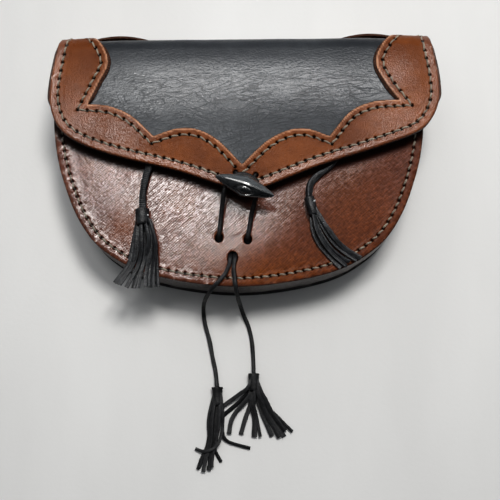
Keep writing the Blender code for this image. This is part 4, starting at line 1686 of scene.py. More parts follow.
@dataclass
class Thong:
    """A lace from a hole of the front panel to the tassel that hangs on it."""

    name: str
    hole: PanelHole
    route: tuple  # a height of None lies on the front panel
    radius: float
    tassel: Tassel
    aside: float = 0.0
    flat: tuple[float, float] = (1.0, 1.0)  # the section's width and height as shares of round
    square: float = 2.3
    wound: Optional[float] = None  # how far from the start its binding begins
    wrap: float = 1.05  # from one turn of the binding to the next
    binding: tuple[float, float] = (0.208, 0.13)  # how much it changes the width and the height
    twist: float = 0.0
    taper: tuple = ((0.0, 1.0), (1.0, 1.0))  # how wide it is at shares of its length
    uneven: float = 0.10  # how much its width changes at random
    sway: float = 0.25  # how far it rolls at random, in radians
    in_hole: tuple[float, float, float] = (-3.2, 0.0, 2.6)
    step: float = 0.7
    wound_step: float = 0.21

    def path(self, front: FrontForm) -> Array:
        """Draws the thong's middle line.

        Args:
            front: the front panel's form.

        Returns:
            The line's points.
        """
        points = self.hole.through(front, self.in_hole, self.aside)
        points += [front.laid(x, y, self.radius, z) for x, y, z in self.route]
        line = spaced(smooth(points, 10), self.step)
        return spaced(line, self.step if self.wound is None else self.wound_step)

    def build(self, front: FrontForm, finish: Material, pin_finish: Material) -> None:
        """Args:
            front: the front panel's form.
            finish: the material of the thong and the tassel's laces.
            pin_finish: the material of the tassel's pin.
        """
        ends = self.tassel.build(finish, pin_finish)
        path = self.path(front)
        along = np.arange(len(path)) * np.linalg.norm(path[1] - path[0])
        share = np.linspace(0, 1, len(path))
        wide, high = self.radius * self.flat[0], self.radius * self.flat[1]
        if self.wound is not None:
            ridge = np.abs(np.sin(math.pi * along / self.wrap)) - 0.6
            ridge *= ease(along, self.wound, self.wound + 1.2)
            wide, high = (d * (1 + g * ridge) for d, g in zip((wide, high), self.binding))
        draw = random.Random(len(self.name))
        wobble = [noise.noise(Vector((a * 0.16, draw.random() * 0.01, 3.3))) for a in along]
        wobble = np.array(wobble)
        wide = wide * (1 + self.uneven * wobble) * np.interp(share, *zip(*self.taper))
        bm = bmesh.new()
        roll = self.twist * share + self.sway * wobble
        add_sweep(bm, path, wide, high, 16, self.square, roll=roll)
        lace = finished(self.name + "_lace", bm, finish, [self.name])


# Each tassel's laces: layer, half width, and the x and y of the places that it passes through.
LEFT_LACES = (
    (-1, 1.01, ((-59.0, -40.7), (-60.5, -48.9), (-61.9, -56.3), (-63.0, -62.8), (-65.9, -67.6),
        (-70.8, -74.1))),
    (0, 1.01, ((-57.4, -41.7), (-58.4, -50.4), (-58.8, -57.7), (-60.5, -63.5), (-63.6, -68.8),
        (-68.0, -75.3))),
    (1, 1.06, ((-56.1, -42.1), (-56.0, -51.8), (-56.3, -58.0), (-57.7, -63.6), (-60.0, -69.0),
        (-64.3, -76.8))),
    (-1, 1.17, ((-55.7, -41.3), (-55.1, -52.3), (-55.8, -59.7), (-57.0, -66.1), (-59.3, -72.1),
        (-60.7, -77.2))),
    (1, 1.06, ((-54.1, -42.1), (-52.3, -49.2), (-52.5, -54.8), (-54.0, -60.9), (-56.1, -66.8),
        (-58.0, -77.1))),
    (0, 1.06, ((-53.1, -41.8), (-51.1, -50.5), (-51.7, -58.9), (-53.2, -65.7), (-54.1, -71.7),
        (-53.8, -76.6))),
    (-1, 1.06, ((-52.5, -41.4), (-50.6, -50.2), (-50.2, -57.6), (-51.1, -64.0), (-51.8, -70.5),
        (-51.8, -76.8))),
    (1, 1.01, ((-51.5, -42.2), (-48.8, -52.0), (-48.4, -58.1), (-49.5, -64.3), (-50.0, -70.7),
        (-49.9, -76.7))),
    (0, 1.01, ((-51.2, -41.8), (-48.4, -53.3), (-48.2, -59.0), (-48.1, -65.3), (-47.8, -71.2),
        (-47.4, -76.6))),
    (0, 0.95, ((-58.2, -41.7), (-59.4, -51.4), (-60.1, -58.8), (-61.9, -64.0), (-64.7, -68.6),
        (-69.4, -74.8))),
)
RIGHT_LACES = (
    (-1, 1.17, ((35.5, -35.6), (36.2, -45.5), (38.6, -52.5), (42.4, -57.9), (46.9, -63.1),
        (51.0, -67.2))),
    (1, 1.17, ((36.1, -36.2), (38.0, -46.6), (41.4, -53.5), (45.7, -59.0), (50.0, -63.0),
        (53.6, -66.1))),
    (-1, 1.06, ((36.8, -35.6), (40.1, -46.6), (44.0, -53.9), (48.3, -58.7), (52.3, -62.0),
        (56.0, -63.7))),
    (0, 1.22, ((37.4, -35.9), (41.7, -45.3), (46.2, -52.5), (51.0, -57.2), (55.5, -60.5),
        (59.7, -63.2))),
    (1, 1.27, ((38.0, -36.2), (43.2, -45.0), (48.0, -51.6), (52.8, -56.3), (57.6, -59.5),
        (61.9, -62.2))),
    (0, 0.90, ((35.9, -35.9), (39.2, -47.4), (42.6, -54.7), (46.8, -60.5), (50.5, -64.3),
        (54.2, -66.5))),
)
LOW_LEFT_LACES = (
    (-1, 1.03, ((-18.7, -133.6), (-21.0, -142.4), (-21.9, -150.0), (-21.9, -156.0),
        (-23.3, -162.0), (-25.8, -167.3), (-28.1, -173.5))),
    (1, 1.15, ((-17.8, -133.6), (-19.5, -142.4), (-20.4, -151.1), (-20.7, -157.6), (-22.2, -163.5),
        (-23.9, -168.9), (-25.0, -174.7))),
    (0, 1.21, ((-16.7, -133.6), (-17.9, -142.4), (-18.6, -151.1), (-19.3, -158.2), (-20.5, -164.6),
        (-21.3, -170.0), (-22.1, -174.0))),
    (1, 1.09, ((-15.8, -133.6), (-16.0, -142.4), (-16.6, -150.0), (-17.9, -157.1), (-19.6, -163.6),
        (-20.2, -168.4), (-20.4, -172.4))),
    (-1, 0.98, ((-17.1, -133.6), (-17.1, -143.5), (-17.4, -152.2), (-18.6, -158.7),
        (-18.5, -163.1), (-16.9, -166.6), (-15.2, -169.6))),
    (1, 0.86, ((-14.8, -133.7), (-14.5, -142.4), (-14.3, -150.1, 3.0), (-15.2, -156.0, 2.9),
        (-17.7, -160.9, 3.1), (-21.8, -163.3, 3.0), (-25.4, -163.6, 1.9), (-29.4, -162.3, 0.6))),
    (0, 0.86, ((-15.0, -133.6), (-13.9, -142.4), (-14.2, -150.6), (-13.8, -155.5), (-11.3, -158.5),
        (-5.7, -160.5), (1.1, -162.3))),
    (-1, 0.98, ((-19.3, -133.6), (-21.7, -143.4), (-22.1, -151.1), (-21.5, -157.6),
        (-23.6, -164.1), (-25.8, -168.4), (-27.2, -172.1))),
)
LOW_RIGHT_LACES = (
    (1, 1.15, ((1.9, -125.5), (-0.4, -129.7), (-4.9, -132.9), (-9.5, -136.1), (-12.3, -138.0),
        (-14.8, -139.9))),
    (-1, 1.15, ((2.4, -126.0), (0.1, -131.5), (-3.9, -135.9), (-7.8, -139.5), (-11.2, -142.2),
        (-14.6, -145.2))),
    (0, 1.26, ((2.7, -126.1), (1.3, -132.7), (-2.2, -137.6), (-6.4, -142.2), (-9.4, -147.4),
        (-10.7, -154.5))),
    (-1, 1.26, ((3.0, -126.0), (2.4, -133.8), (1.1, -139.3), (-1.0, -144.8), (-2.6, -149.7),
        (-4.1, -154.9))),
    (0, 1.44, ((3.3, -126.1), (2.1, -133.8), (2.6, -140.4), (3.8, -145.9), (3.6, -151.4),
        (3.4, -156.3))),
    (1, 0.80, ((3.6, -126.1), (3.8, -133.8), (3.7, -139.9), (5.0, -145.9), (5.9, -151.4),
        (6.9, -156.2))),
    (-1, 1.21, ((4.1, -126.0), (4.9, -133.3), (6.5, -139.3), (8.7, -145.4), (11.1, -151.2),
        (13.3, -156.1))),
    (1, 1.26, ((4.4, -126.1), (6.0, -132.8), (8.2, -138.3), (10.9, -144.9), (14.2, -150.9),
        (17.4, -156.7))),
    (-1, 1.26, ((5.0, -126.0), (7.2, -132.2), (9.6, -137.7), (12.7, -143.8), (16.2, -150.1),
        (20.1, -156.3))),
    (1, 1.21, ((5.5, -126.1), (7.7, -131.7), (10.5, -137.2), (13.5, -143.0), (17.0, -147.9),
        (20.7, -153.1))),
    (0, 0.80, ((5.6, -125.5), (7.5, -130.5), (9.9, -136.1), (12.7, -141.3), (17.9, -146.6),
        (24.7, -153.6))),
)
# Each thong's way from its hole: x, y and height, or None where it lies on the front panel.
LEFT_ROUTE = (
    (-50.8, -4.5, None), (-52.7, -9.9, None), (-55.0, -18.0, None), (-56.1, -26.5, None),
    (-55.9, -34.6, None),
)
RIGHT_ROUTE = (
    (50.9, -6.0, None), (46.2, -11.7, None), (40.0, -15.8, None), (35.6, -21.0, None),
    (34.4, -28.6, None),
)
LOW_LEFT_ROUTE = (
    (-9.4, -65.6, None), (-11.6, -70.0, None), (-15.0, -74.0, 36.2), (-18.4, -77.4, 34.0),
    (-20.9, -79.8, 29.0), (-22.6, -81.2, 22.0), (-23.8, -82.2, 14.5), (-24.7, -84.0, 7.0),
    (-24.9, -88.0, 2.2), (-23.9, -94.0, 1.1), (-21.6, -102.5, 1.1), (-19.9, -111.5, 1.1),
    (-18.1, -120.5, 1.3), (-17.2, -128.6, 3.2),
)
LOW_RIGHT_ROUTE = (
    (-6.7, -66.0, None), (-6.4, -71.0, None), (-5.9, -75.4, 36.4), (-5.4, -79.0, 33.6),
    (-4.9, -81.2, 28.0), (-4.5, -82.2, 20.5), (-4.0, -83.0, 13.0), (-3.2, -84.9, 6.2),
    (-1.7, -88.8, 2.0), (0.7, -94.5, 1.1), (2.4, -101.5, 1.1), (3.1, -109.0, 1.1),
    (3.4, -115.0, 1.5), (3.5, -121.2, 3.3),
)


def tassels(front: FrontForm) -> list[Thong]:
    """Every thong with its tassel.

    Args:
        front: the front panel's form, which the upper two lie on.

    Returns:
        The thongs, the upper ones first.
    """
    left = Tassel(
        "tassel_left",
        (-55.9, -35.0),
        (-55.4, -43.0),
        4.0,
        LEFT_LACES,
        front=front,
        pin=(-52.6, -38.6),
        seed=11,
    )
    right = Tassel(
        "tassel_right",
        (34.5, -29.0),
        (36.6, -38.0),
        2.9,
        RIGHT_LACES,
        front=front,
        pin=(36.9, -31.4),
        pin_radius=0.85,
        painted_hole_shade=True,
        sleeve=((-0.02, 0.9), (0.05, 1.0), (0.3, 1.0), (0.65, 1.04), (0.85, 1.0)),
        seed=5,
    )
    low_left = Tassel(
        "tassel_low_left",
        (-17.1, -129.0),
        (-16.9, -138.0),
        3.1,
        LOW_LEFT_LACES,
        sleeve=((-0.03, 1.08), (0.03, 1.1), (0.12, 0.98), (0.6, 0.96), (0.85, 0.95)),
        seed=23,
    )
    low_right = Tassel(
        "tassel_low_right",
        (3.5, -121.6),
        (3.5, -130.2),
        3.2,
        LOW_RIGHT_LACES,
        sleeve=((-0.03, 1.02), (0.04, 1.06), (0.3, 0.97), (0.65, 1.0), (0.85, 0.96)),
        seed=37,
    )
    left_taper = ((0.0, 1.0), (0.3, 1.3), (0.42, 1.3), (0.5, 1.12), (0.7, 1.0), (1.0, 1.02))
    right_taper = ((0.0, 0.9), (0.36, 0.7), (0.5, 0.72), (0.68, 1.12), (0.9, 1.05), (1.0, 0.8))
    low = dict(flat=(1.1, 0.95), square=3.0)
    return [
        Thong(
            "thong_left",
            LEFT_HOLE,
            LEFT_ROUTE,
            1.6,
            left,
            flat=(1.12, 1.0),
            wound=16.0,
            square=3.2,
            taper=left_taper,
        ),
        Thong(
            "thong_right",
            RIGHT_HOLE,
            RIGHT_ROUTE,
            1.6,
            right,
            flat=(1.1, 0.85),
            square=3.6,
            taper=right_taper,
            twist=0.9,
        ),
        Thong(
            "thong_low_left",
            LOW_HOLE,
            LOW_LEFT_ROUTE,
            1.05,
            low_left,
            aside=-1.25,
            twist=1.2,
            **low,
        ),
        Thong(
            "thong_low_right",
            LOW_HOLE,
            LOW_RIGHT_ROUTE,
            1.05,
            low_right,
            aside=1.25,
            twist=-1.0,
            **low,
        ),
    ]


# ---------------------------------------------------------------- the toggle and its laces


@dataclass
class Toggle:
    """The horn toggle, its cord through the flap, and the loop that closes over it."""

    centre: tuple = (-0.4, -25.6, 51.8)
    turn: float = -20.5
    half_length: float = 16.6
    half_width: float = 6.2
    half_height: float = 5.0
    taper: float = 0.65
    ridge: float = 1.45
    rings: int = 120
    sides: int = 144
    arris_slope: float = 0.15  # of the polished flat along the top ridge
    arris_depth: float = 0.085
    face_reach: float = 0.6  # how far along the toggle the eye's face goes
    eye_along: float = 0.06
    eye_down: float = -0.05
    eye_size: tuple[float, float] = (0.27, 0.62)
    eye_rise: float = 0.2
    eye_groove: tuple[float, float] = (0.6, 0.16)  # depth and width
    eye_pupil: float = 0.3
    inward: tuple[float, float] = (-0.63, 0.78)  # the y and z of the way that the eye is carved
    cord_radius: float = 0.9
    loop_radius: float = 1.25
    cord_step: float = 0.35
    loop_step: float = 0.5
    knots: tuple[float, float] = (1.1, 0.09)  # how fast a lace's width changes, and how much
    cord_route: tuple = (
        (-1.9, -23.5, 50.2), (-1.6, -22.2, 48.7), (-2.3, -20.3, 46.9), (-3.6, -18.3, 46.05),
        (-4.9, -16.6, 45.9), (-5.3, -15.9, 44.6), (-5.3, -15.8, 41.6), (-4.9, -15.9, 39.5),
        (-3.0, -16.1, 38.7), (0.2, -16.5, 38.6), (3.4, -16.9, 38.7), (5.2, -17.1, 39.5),
        (5.6, -17.2, 41.6), (5.6, -17.3, 44.6), (5.2, -18.1, 45.9), (4.2, -20.2, 46.05),
        (3.2, -22.2, 46.9), (2.8, -23.7, 48.7), (2.4, -24.9, 50.2),
    )
    loop_route: tuple = (  # a height of None lies on the front panel
        (-14.1, -45.8, None), (-13.4, -39.5, 38.9), (-12.6, -33.5, 41.6), (-11.8, -28.6, 45.3),
        (-10.9, -25.0, 46.6), (-8.8, -21.2, 46.9), (-5.6, -18.9, 48.2), (-1.8, -18.2, 48.9),
        (2.2, -19.3, 48.9), (5.9, -22.0, 48.3), (6.5, -26.0, 46.9), (5.7, -30.0, 46.3),
        (4.3, -34.2, 42.9), (2.9, -39.5, 39.3), (1.7, -46.6, None),
    )
    loop_inside: tuple = (  # x, y and how far below the front panel's face
        (0.4, -54.3, 3.4), (-2.6, -56.4, 5.0), (-6.9, -57.0, 5.4), (-11.2, -56.0, 5.0),
        (-14.3, -53.2, 3.4),
    )

    def horn(self, finish: Material) -> None:
        """Turns the spindle and carves its eye.

        Args:
            finish: its material.
        """
        t = np.linspace(-0.5, 0.5, self.rings + 1)[:, None]
        angle = np.linspace(0, math.tau, self.sides + 1)[None, :]
        along = np.sin(math.pi * t) + 0 * angle
        radius = np.maximum(0.0, 1 - np.abs(along)) ** self.taper
        across, up = rounded(np.cos(angle), self.ridge), rounded(np.sin(angle), self.ridge)
        x = along * self.half_length
        y = across * radius * self.half_width
        arris = self.half_height * radius - self.arris_depth * np.sqrt(radius)
        z = np.minimum(up * radius * self.half_height, arris - self.arris_slope * y)
        # The face with the eye slopes from the top ridge down to the front edge.
        face = (np.cos(angle) < 0) & (np.sin(angle) > 0)
        slope = np.where(face, -across - up, 0.0) + 0 * along
        carve = self.eye(along, slope) * (face & (np.abs(along) < self.face_reach))
        y, z = y + carve * self.inward[0], z + carve * self.inward[1]
        # Painted sheen: the upper face, towards the lights, is marked to be painted paler.
        worn = ease(y / np.maximum(radius, 0.05), 0.1, 1.2) * (z > 0)
        bm = bmesh.new()
        add_grid(bm, np.dstack((x, y, z)), worn)
        turn = Matrix.Rotation(math.radians(self.turn), 4, "Z")
        matrix = Matrix.Translation(self.centre) @ turn
        bmesh.ops.transform(bm, matrix=matrix, verts=bm.verts)
        finished("toggle_horn", bm, finish, ["toggle"], sharp=60)

    def eye(self, along: Array, slope: Array) -> Array:
        """Works out how far the face is raised by the eye's carving.

        Args:
            along: each corner's place along the toggle, from -1 to 1.
            slope: its place down the face, from -1 to 1.

        Returns:
            The rise at each corner.
        """
        length, height = self.eye_size
        far = np.hypot((along - self.eye_along) / length, (slope - self.eye_down) / height)
        depth, width = self.eye_groove
        carve = self.eye_rise * (1 - ease(far, 0.3, 0.85)) - depth * hill(far, 1.0, width)
        carve -= self.eye_pupil * (1 - ease(far, 0.0, 0.5))
        return carve * ease(1 - np.abs(slope), 0.06, 0.3)

    def held(self, node: str, path: Array, radius: float, finish: Material) -> None:
        """Builds a lace that the pouch holds at every place.

        Args:
            node: the model's node that it replaces.
            path: its middle line.
            radius: its radius.
            finish: its material.
        """
        along = np.arange(len(path)) * np.linalg.norm(path[1] - path[0])
        rate, change = self.knots
        knots = np.array([noise.noise(Vector((a * rate, radius, 0))) for a in along])
        bm = bmesh.new()
        add_sweep(bm, path, radius * (1 + change * knots), radius * 0.97, 16, 2.2)
        finished(node + "_lace", bm, finish, [node])

    def build(self, front: FrontForm, horn: Material, lace: Material) -> None:
        """Builds the toggle, its cord and the closing loop.

        Args:
            front: the front panel's form, which the loop lies on.
            horn: the toggle's material.
            lace: the laces' material.
        """
        self.horn(horn)
        cord = spaced(smooth(self.cord_route, 10), self.cord_step)
        self.held("toggle_cord", cord, self.cord_radius, lace)
        above = [front.laid(x, y, self.loop_radius, z) for x, y, z in self.loop_route]
        below = [(x, y, float(front.top(x, y)) - deep) for x, y, deep in self.loop_inside]
        rise = LOOP_LEFT_HOLE.through(front, (0.0, 2.6))
        fall = LOOP_RIGHT_HOLE.through(front, (2.6, 0.0))
        loop = spaced(smooth([*rise, *above, *fall, *below, rise[0]], 10), self.loop_step)
        self.held("closing_loop", loop, self.loop_radius, lace)


# ---------------------------------------------------------------- the body


@dataclass
class Body:
    """The back panel, the gusset and the front panel."""

    front: FrontForm
    flap_edge: Array
    back_thickness: float = 2.4
    back_top_y: float = 58.5
    seam_margin: float = 4.5
    pitch: float = 4.6
    painted_shadow_reach: tuple[float, float] = (2.4, 5.6)  # how far below the flap's edge its shadow is painted dark
    burnished: tuple = (  # each spot's x and half width, its y and half height, and its strength
        (14, 32, -68, 14, 1.0),
        (-66, 10, -42, 9, 0.7),
        (60, 28, -36, 26, 0.55),
    )
    wave: float = 0.22  # how high the front's soft waves are
    ripple: float = 0.2  # and the ripples across its left margin
    groove: tuple[float, float, float] = (0.14, 2.1, 0.35)  # depth, place inside the seam, width
    gusset_wave: float = 0.35

    def front_relief(self, flat: Array) -> Array:
        """The front's soft waves, with short ripples across its left margin.

        Args:
            flat: flat places, one a row.

        Returns:
            The lift at each place.
        """
        x, y = flat.T
        edge = distance_to(flat, self.front.outline.curve())
        margin = (1 - ease(edge, 5, 15)) * ease(-x, 60, 85) * ease(y, -45, -20)
        ripple = np.sin(y * 1.35 + 2.0 * np.sin(y * 0.31) + x * 0.12) * margin
        depth, inside, width = self.groove
        groove = hill(edge, self.seam_margin + inside, width) * ease(-y, 20, 45)
        lift = self.wave * waves(flat, 0.045, 0.045, 0.7)
        return lift + self.ripple * ripple - depth * groove

    def gusset_relief(self, flat: Array) -> Array:
        """The gusset's shallow creases."""
        return self.gusset_wave * waves(flat, 0.11, 0.03, 4.0)

    def burnish(self, flat: Array) -> Array:
        """Where the front is rubbed to an orange brown: at its rim, on the left and the right.

        Args:
            flat: flat places, one a row.

        Returns:
            The share at each place.
        """
        x, y = flat.T
        warm = np.zeros(len(flat))
        for middle_x, width, middle_y, height, strength in self.burnished:
            warm += strength * hill(x, middle_x, width) * hill(y, middle_y, height)
        return np.clip(warm, 0, 1)

    def polish(self, flat: Array) -> Array:
        """Where the front is polished: its left half, down to the burnished rim, and not where the
        flap's shadow is painted.

        Args:
            flat: flat places, one a row.

        Returns:
            The share at each place.
        """
        x, y = flat.T
        across = 1 - 0.93 * ease(x - 1.2 * y, 50, 92) - 0.16 * ease(-x, 40, 75)
        return across * (1 - 0.95 * self.burnish(flat)) * (1 - self.painted_flap_shadow(flat))

    def painted_flap_shadow(self, flat: Array) -> Array:
        """Where the flap's shadow is painted on the front, dark and dull: under the flap and just
        below its edge.

        Args:
            flat: flat places, one a row.

        Returns:
            The share at each place.
        """
        x, y = flat.T
        line = self.flap_edge[(self.flap_edge[:, 1] < 45) & (np.abs(self.flap_edge[:, 0]) < 104)]
        below = np.interp(x, *line.T) - y
        far = np.where(below > 0, distance_to(flat, self.flap_edge), 0)
        return 1 - ease(far, *self.painted_shadow_reach)

    def build(self, red_brown: Material, dark: Material, thread: Material) -> None:
        """Builds the three pieces and the front's stitches.

        Args:
            red_brown: the front's material.
            dark: the material of the back and the gusset.
            thread: the stitches' material.
        """
        form, outline = self.front, self.front.outline
        back = outline.closed(self.back_top_y)
        flat = FlatForm(self.back_thickness / 2)
        sheet = Sheet("back_leather", back, flat, self.back_thickness, 6.0, rim=0.8)
        sheet.build(dark, Slot.DARK, ["back_panel"])
        gusset = GussetForm(outline)
        length, width = gusset.size()
        rim = spaced_loop([(0, 0), (length, 0), (length, width), (0, width), (0, 0)], 2.0)
        sheet = Sheet("gusset_leather", rim, gusset, gusset.thickness, 1.6, rim=0.45)
        sheet.relief = self.gusset_relief
        sheet.build(dark, Slot.DARK, ["gusset"])
        seam = Seam(beside(outline.curve(), self.seam_margin)[3:-3], self.pitch, thread=0.5)
        front = Sheet(
            "front_leather",
            outline.closed(form.top_y),
            form,
            form.thickness,
            1.5,
            rim=0.75,
            seams=[seam],
            holes=[hole.row() for hole in PANEL_HOLES],
            relief=self.front_relief,
            warm=self.burnish,
            wax=self.polish,
            # The flap's shadow, painted on the front.
            painted_shadow=self.painted_flap_shadow,
            fine=3,
        )
        front.build(red_brown, Slot.RED_BROWN, ["front_panel"])
        finished("front_stitches", seam.stitches(form, form.thickness / 2), thread)


# ---------------------------------------------------------------- the flap


@dataclass
class Flap:
    """The black flap, its scalloped brown trim and the hanger loops."""

    form: FlapForm = field(default_factory=FlapForm)
    thickness: float = 2.0
    trim_lift: float = 2.3
    trim_top: float = 74.5
    trim_slant: float = 1.0
    band_inset: float = 0.6
    tip: tuple[float, float] = (0.4, -27.0)
    strip_x: tuple[float, float] = (-94.0, 87.2)
    holes: tuple = ((-5.3, -15.8, 1.45, 0.0), (5.6, -17.2, 1.45, 0.0))
    hidden: float = 2.4  # how near to a hole no stitch shows
    outer_margin: float = 4.8
    inner_margin: float = 3.9
    pitch: float = 5.1
    edge_step: float = 1.4
    edge: tuple = (  # x and y on the left, then on the right
        (-103.4, 72.0, 104.8, 72.0), (-105.4, 58.0, 105.8, 58.0), (-108.0, 39.0, 108.0, 41.0),
        (-107.9, 26.0, 107.6, 26.0), (-102.9, 12.7, 101.8, 13.4), (-92.0, 3.3, 92.4, 6.0),
        (-70.0, -5.3, 70.0, -2.4), (-37.4, -13.9, 40.0, -12.0), (-12.3, -22.8, 12.0, -23.0),
    )
    scallop_step: float = 1.2
    scallops: tuple = (  # x and y on the left, then on the right, and whether it is a corner
        (-86.5, 69.0, 86.0, 69.0, 0), (-78.2, 57.5, 76.4, 57.5, 0),
        (-76.2, 48.0, 73.4, 47.0, 0), (-81.0, 37.0, 78.4, 35.4, 0),
        (-86.5, 25.1, 85.2, 25.8, 1), (-74.6, 23.3, 70.8, 24.3, 0),
        (-62.3, 17.4, 57.9, 18.4, 0), (-50.0, 5.6, 46.1, 4.5, 1),
        (-37.4, 9.6, 34.6, 8.6, 0), (-25.8, 8.9, 23.6, 7.9, 0),
        (-14.3, 2.3, 11.4, 1.6, 0), (-1.8, -11.0, -1.8, -11.0, 1),
    )
    loops: tuple = (("hanger_loop_left", -101.0, -45.5), ("hanger_loop_right", 46.0, 101.5))
    loop_z: tuple[float, float] = (11.0, 25.0)
    loop_thickness: float = 2.2
    creases: tuple = (
        ((-70.5, 32.0), (-67.0, 24.5), (-62.0, 19.5)),
        ((-60.0, 29.0), (-55.5, 22.0), (-47.0, 15.0)),
        ((-52.0, 34.0), (-47.5, 27.0), (-44.0, 24.0)),
        ((-35.0, 26.0), (-27.5, 21.5), (-18.0, 17.5)),
        ((-30.0, 18.0), (-24.0, 15.5), (-16.0, 12.0)),
        ((20.0, 22.0), (30.0, 17.5), (44.0, 15.5)),
        ((52.0, 33.0), (58.0, 27.0), (62.0, 25.0)),
        ((-64.0, 41.0), (-50.0, 39.0), (-38.0, 39.5)),
        ((10.0, 12.0), (18.0, 13.5), (30.0, 12.0)),
    )
    face_waves: tuple = (  # height, how fast they change across and up, and which noise
        (0.14, 0.04, 0.09, 1.9),
        (0.02, 0.1, 0.3, 6.1),
    )
    ripple: float = 0.13  # beside a crease
    crease_depth: float = 0.2
    crease_width: float = 0.45
    crease_inside: float = 2.7  # from the trim's outer stitches to its creased line
    trim_wave: float = 0.16
    rubbed: tuple = (  # the trim's corners that are rubbed: x, y and how far round
        (-92.0, 12.0, 20.0), (-70.0, 6.0, 14.0), (88.0, 14.0, 20.0), (84.0, 40.0, 12.0),
    )

    def outer(self) -> Array:
        """The outer edge from its left top end by the tip to the right one."""
        left = smooth([row[:2] for row in self.edge], 10)
        right = smooth([row[2:] for row in reversed(self.edge)], 10)
        down = spaced(np.vstack((left, self.tip)), self.edge_step)[:-1]
        up = spaced(np.vstack((self.tip, right)), self.edge_step)[1:]
        return np.vstack((down, self.tip, up))

    def inner(self) -> Array:
        """The scalloped edge from its right top end by the middle to the left one."""
        corners = [0, *(k for k, row in enumerate(self.scallops) if row[4])]
        halves = []
        for first in (2, 0):
            half = []
            for start, end in zip(corners, corners[1:]):
                span = [row[first : first + 2] for row in self.scallops[start : end + 1]]
                half.append(spaced(smooth(span, 10), self.scallop_step)[:-1])
            halves.append(np.vstack([*half, [self.scallops[-1][:2]]]))
        return np.vstack((halves[0], halves[1][-2::-1]))

    def trim_outline(self) -> Array:
        """The trim's closed outline."""
        outer, inner = self.outer(), self.inner()
        top, slant = self.trim_top, self.trim_slant
        right = np.array([(outer[-1][0], top), (inner[0][0] + slant, top)])
        left = np.array([(inner[-1][0] - slant, top), (outer[0][0], top)])
        ends = (spaced(side, self.edge_step) for side in (right, left))
        return np.vstack((outer, next(ends), inner, next(ends)))

    def face_relief(self, flat: Array) -> Array:
        """The black face's soft waves and sharp creases.

        Args:
            flat: flat places, one a row.

        Returns:
            The lift at each place.
        """
        lift = sum(height * waves(flat, *rest) for height, *rest in self.face_waves)
        for crease in self.creases:
            far = distance_to(flat, smooth(crease, 6))
            reach = math.dist(crease[0], crease[-1]) * 0.75
            fade = 1 - ease(np.linalg.norm(flat - crease[1], axis=1), reach * 0.3, reach)
            ripples = self.ripple * np.cos(far * 2.0) * np.exp(-far / 3.5)
            lift = lift + fade * (ripples - self.crease_depth * hill(far, 0, self.crease_width))
        return lift

    def polished(self, flat: Array) -> Array:
        """Where the black face is polished, above its creased lower part.

        Args:
            flat: flat places, one a row.

        Returns:
            The share at each place.
        """
        x, s = flat.T
        across = 1 - 0.45 * (x / 80) ** 2
        return across * (0.03 + 0.97 * ease(s, 12, 38)) * (1 - 0.85 * ease(s, 42, 55))

    def skived(self, flat: Array) -> Array:
        """How far the trim's cut edge slopes outwards, most along the ears' inner sides."""
        x, s = np.abs(flat[:, 0]), flat[:, 1]
        return 0.15 + 1.0 * ease(x, 70, 74) * ease(s, 24, 30) * (1 - ease(s, 56, 64))

    def waxed(self, flat: Array) -> Array:
        """Where the trim is waxed and rubbed: outside its outer stitches and at its corners.

        Args:
            flat: flat places, one a row.

        Returns:
            The share at each place.
        """
        margin = 1 - ease(distance_to(flat, self.outer()), 4.2, 6.5)
        for x, y, reach in self.rubbed:
            near = np.hypot(flat[:, 0] - x, flat[:, 1] - y)
            margin = np.maximum(margin, 0.8 * hill(near, 0, reach))
        return margin

    def trim_relief(self, flat: Array) -> Array:
        """The trim's soft waves and its creased line inside the outer stitches.

        Args:
            flat: flat places, one a row.

        Returns:
            The lift at each place.
        """
        edge = distance_to(flat, self.outer())
        left = 0.35 + 0.65 * ease(-flat[:, 0], 20, 60)
        crease = left * hill(edge, self.outer_margin + self.crease_inside, self.crease_width)
        return self.trim_wave * waves(flat, 0.06, 0.06, 8.2) - self.crease_depth * crease

    def build(self, black: Material, brown: Material, thread: Material) -> None:
        """Builds the flap, its trim with both rows of stitches, and the hanger loops.

        Args:
            black: the flap's material.
            brown: the material of the trim and the loops.
            thread: the stitches' material.
        """
        self.face(black)
        self.trim(brown, thread)
        low, high = self.loop_z
        for node, start, end in self.loops:
            corners = [(start, low), (end, low), (end, high), (start, high), (start, low)]
            rim, form = spaced_loop(corners, 1.5), LoopForm(self.form, start, end)
            sheet = Sheet(node + "_leather", rim, form, self.loop_thickness, 1.5, rim=0.5)
            sheet.build(brown, Slot.BROWN, [node])

    def face(self, finish: Material) -> None:
        """Builds the black flap, with the strip that goes inside the back.

        Args:
            finish: its material.
        """
        form, outer = self.form, self.outer()
        left, right = self.strip_x
        corners = [
            tuple(outer[-1]),
            (outer[-1][0] - self.band_inset, form.band_end),
            (right, form.strip_start),
            (right, form.strip_end),
            (left, form.strip_end),
            (left, form.strip_start),
            (outer[0][0] + self.band_inset, form.band_end),
            tuple(outer[0]),
        ]
        sheet = Sheet(
            "flap_leather",
            np.vstack((outer, spaced_loop(corners, 2.0)[1:])),
            form,
            self.thickness,
            1.7,
            holes=self.holes,
            relief=self.face_relief,
            creases=[smooth(crease, 6) for crease in self.creases],
            wax=self.polished,
        )
        sheet.build(finish, Slot.BLACK, ["flap"])

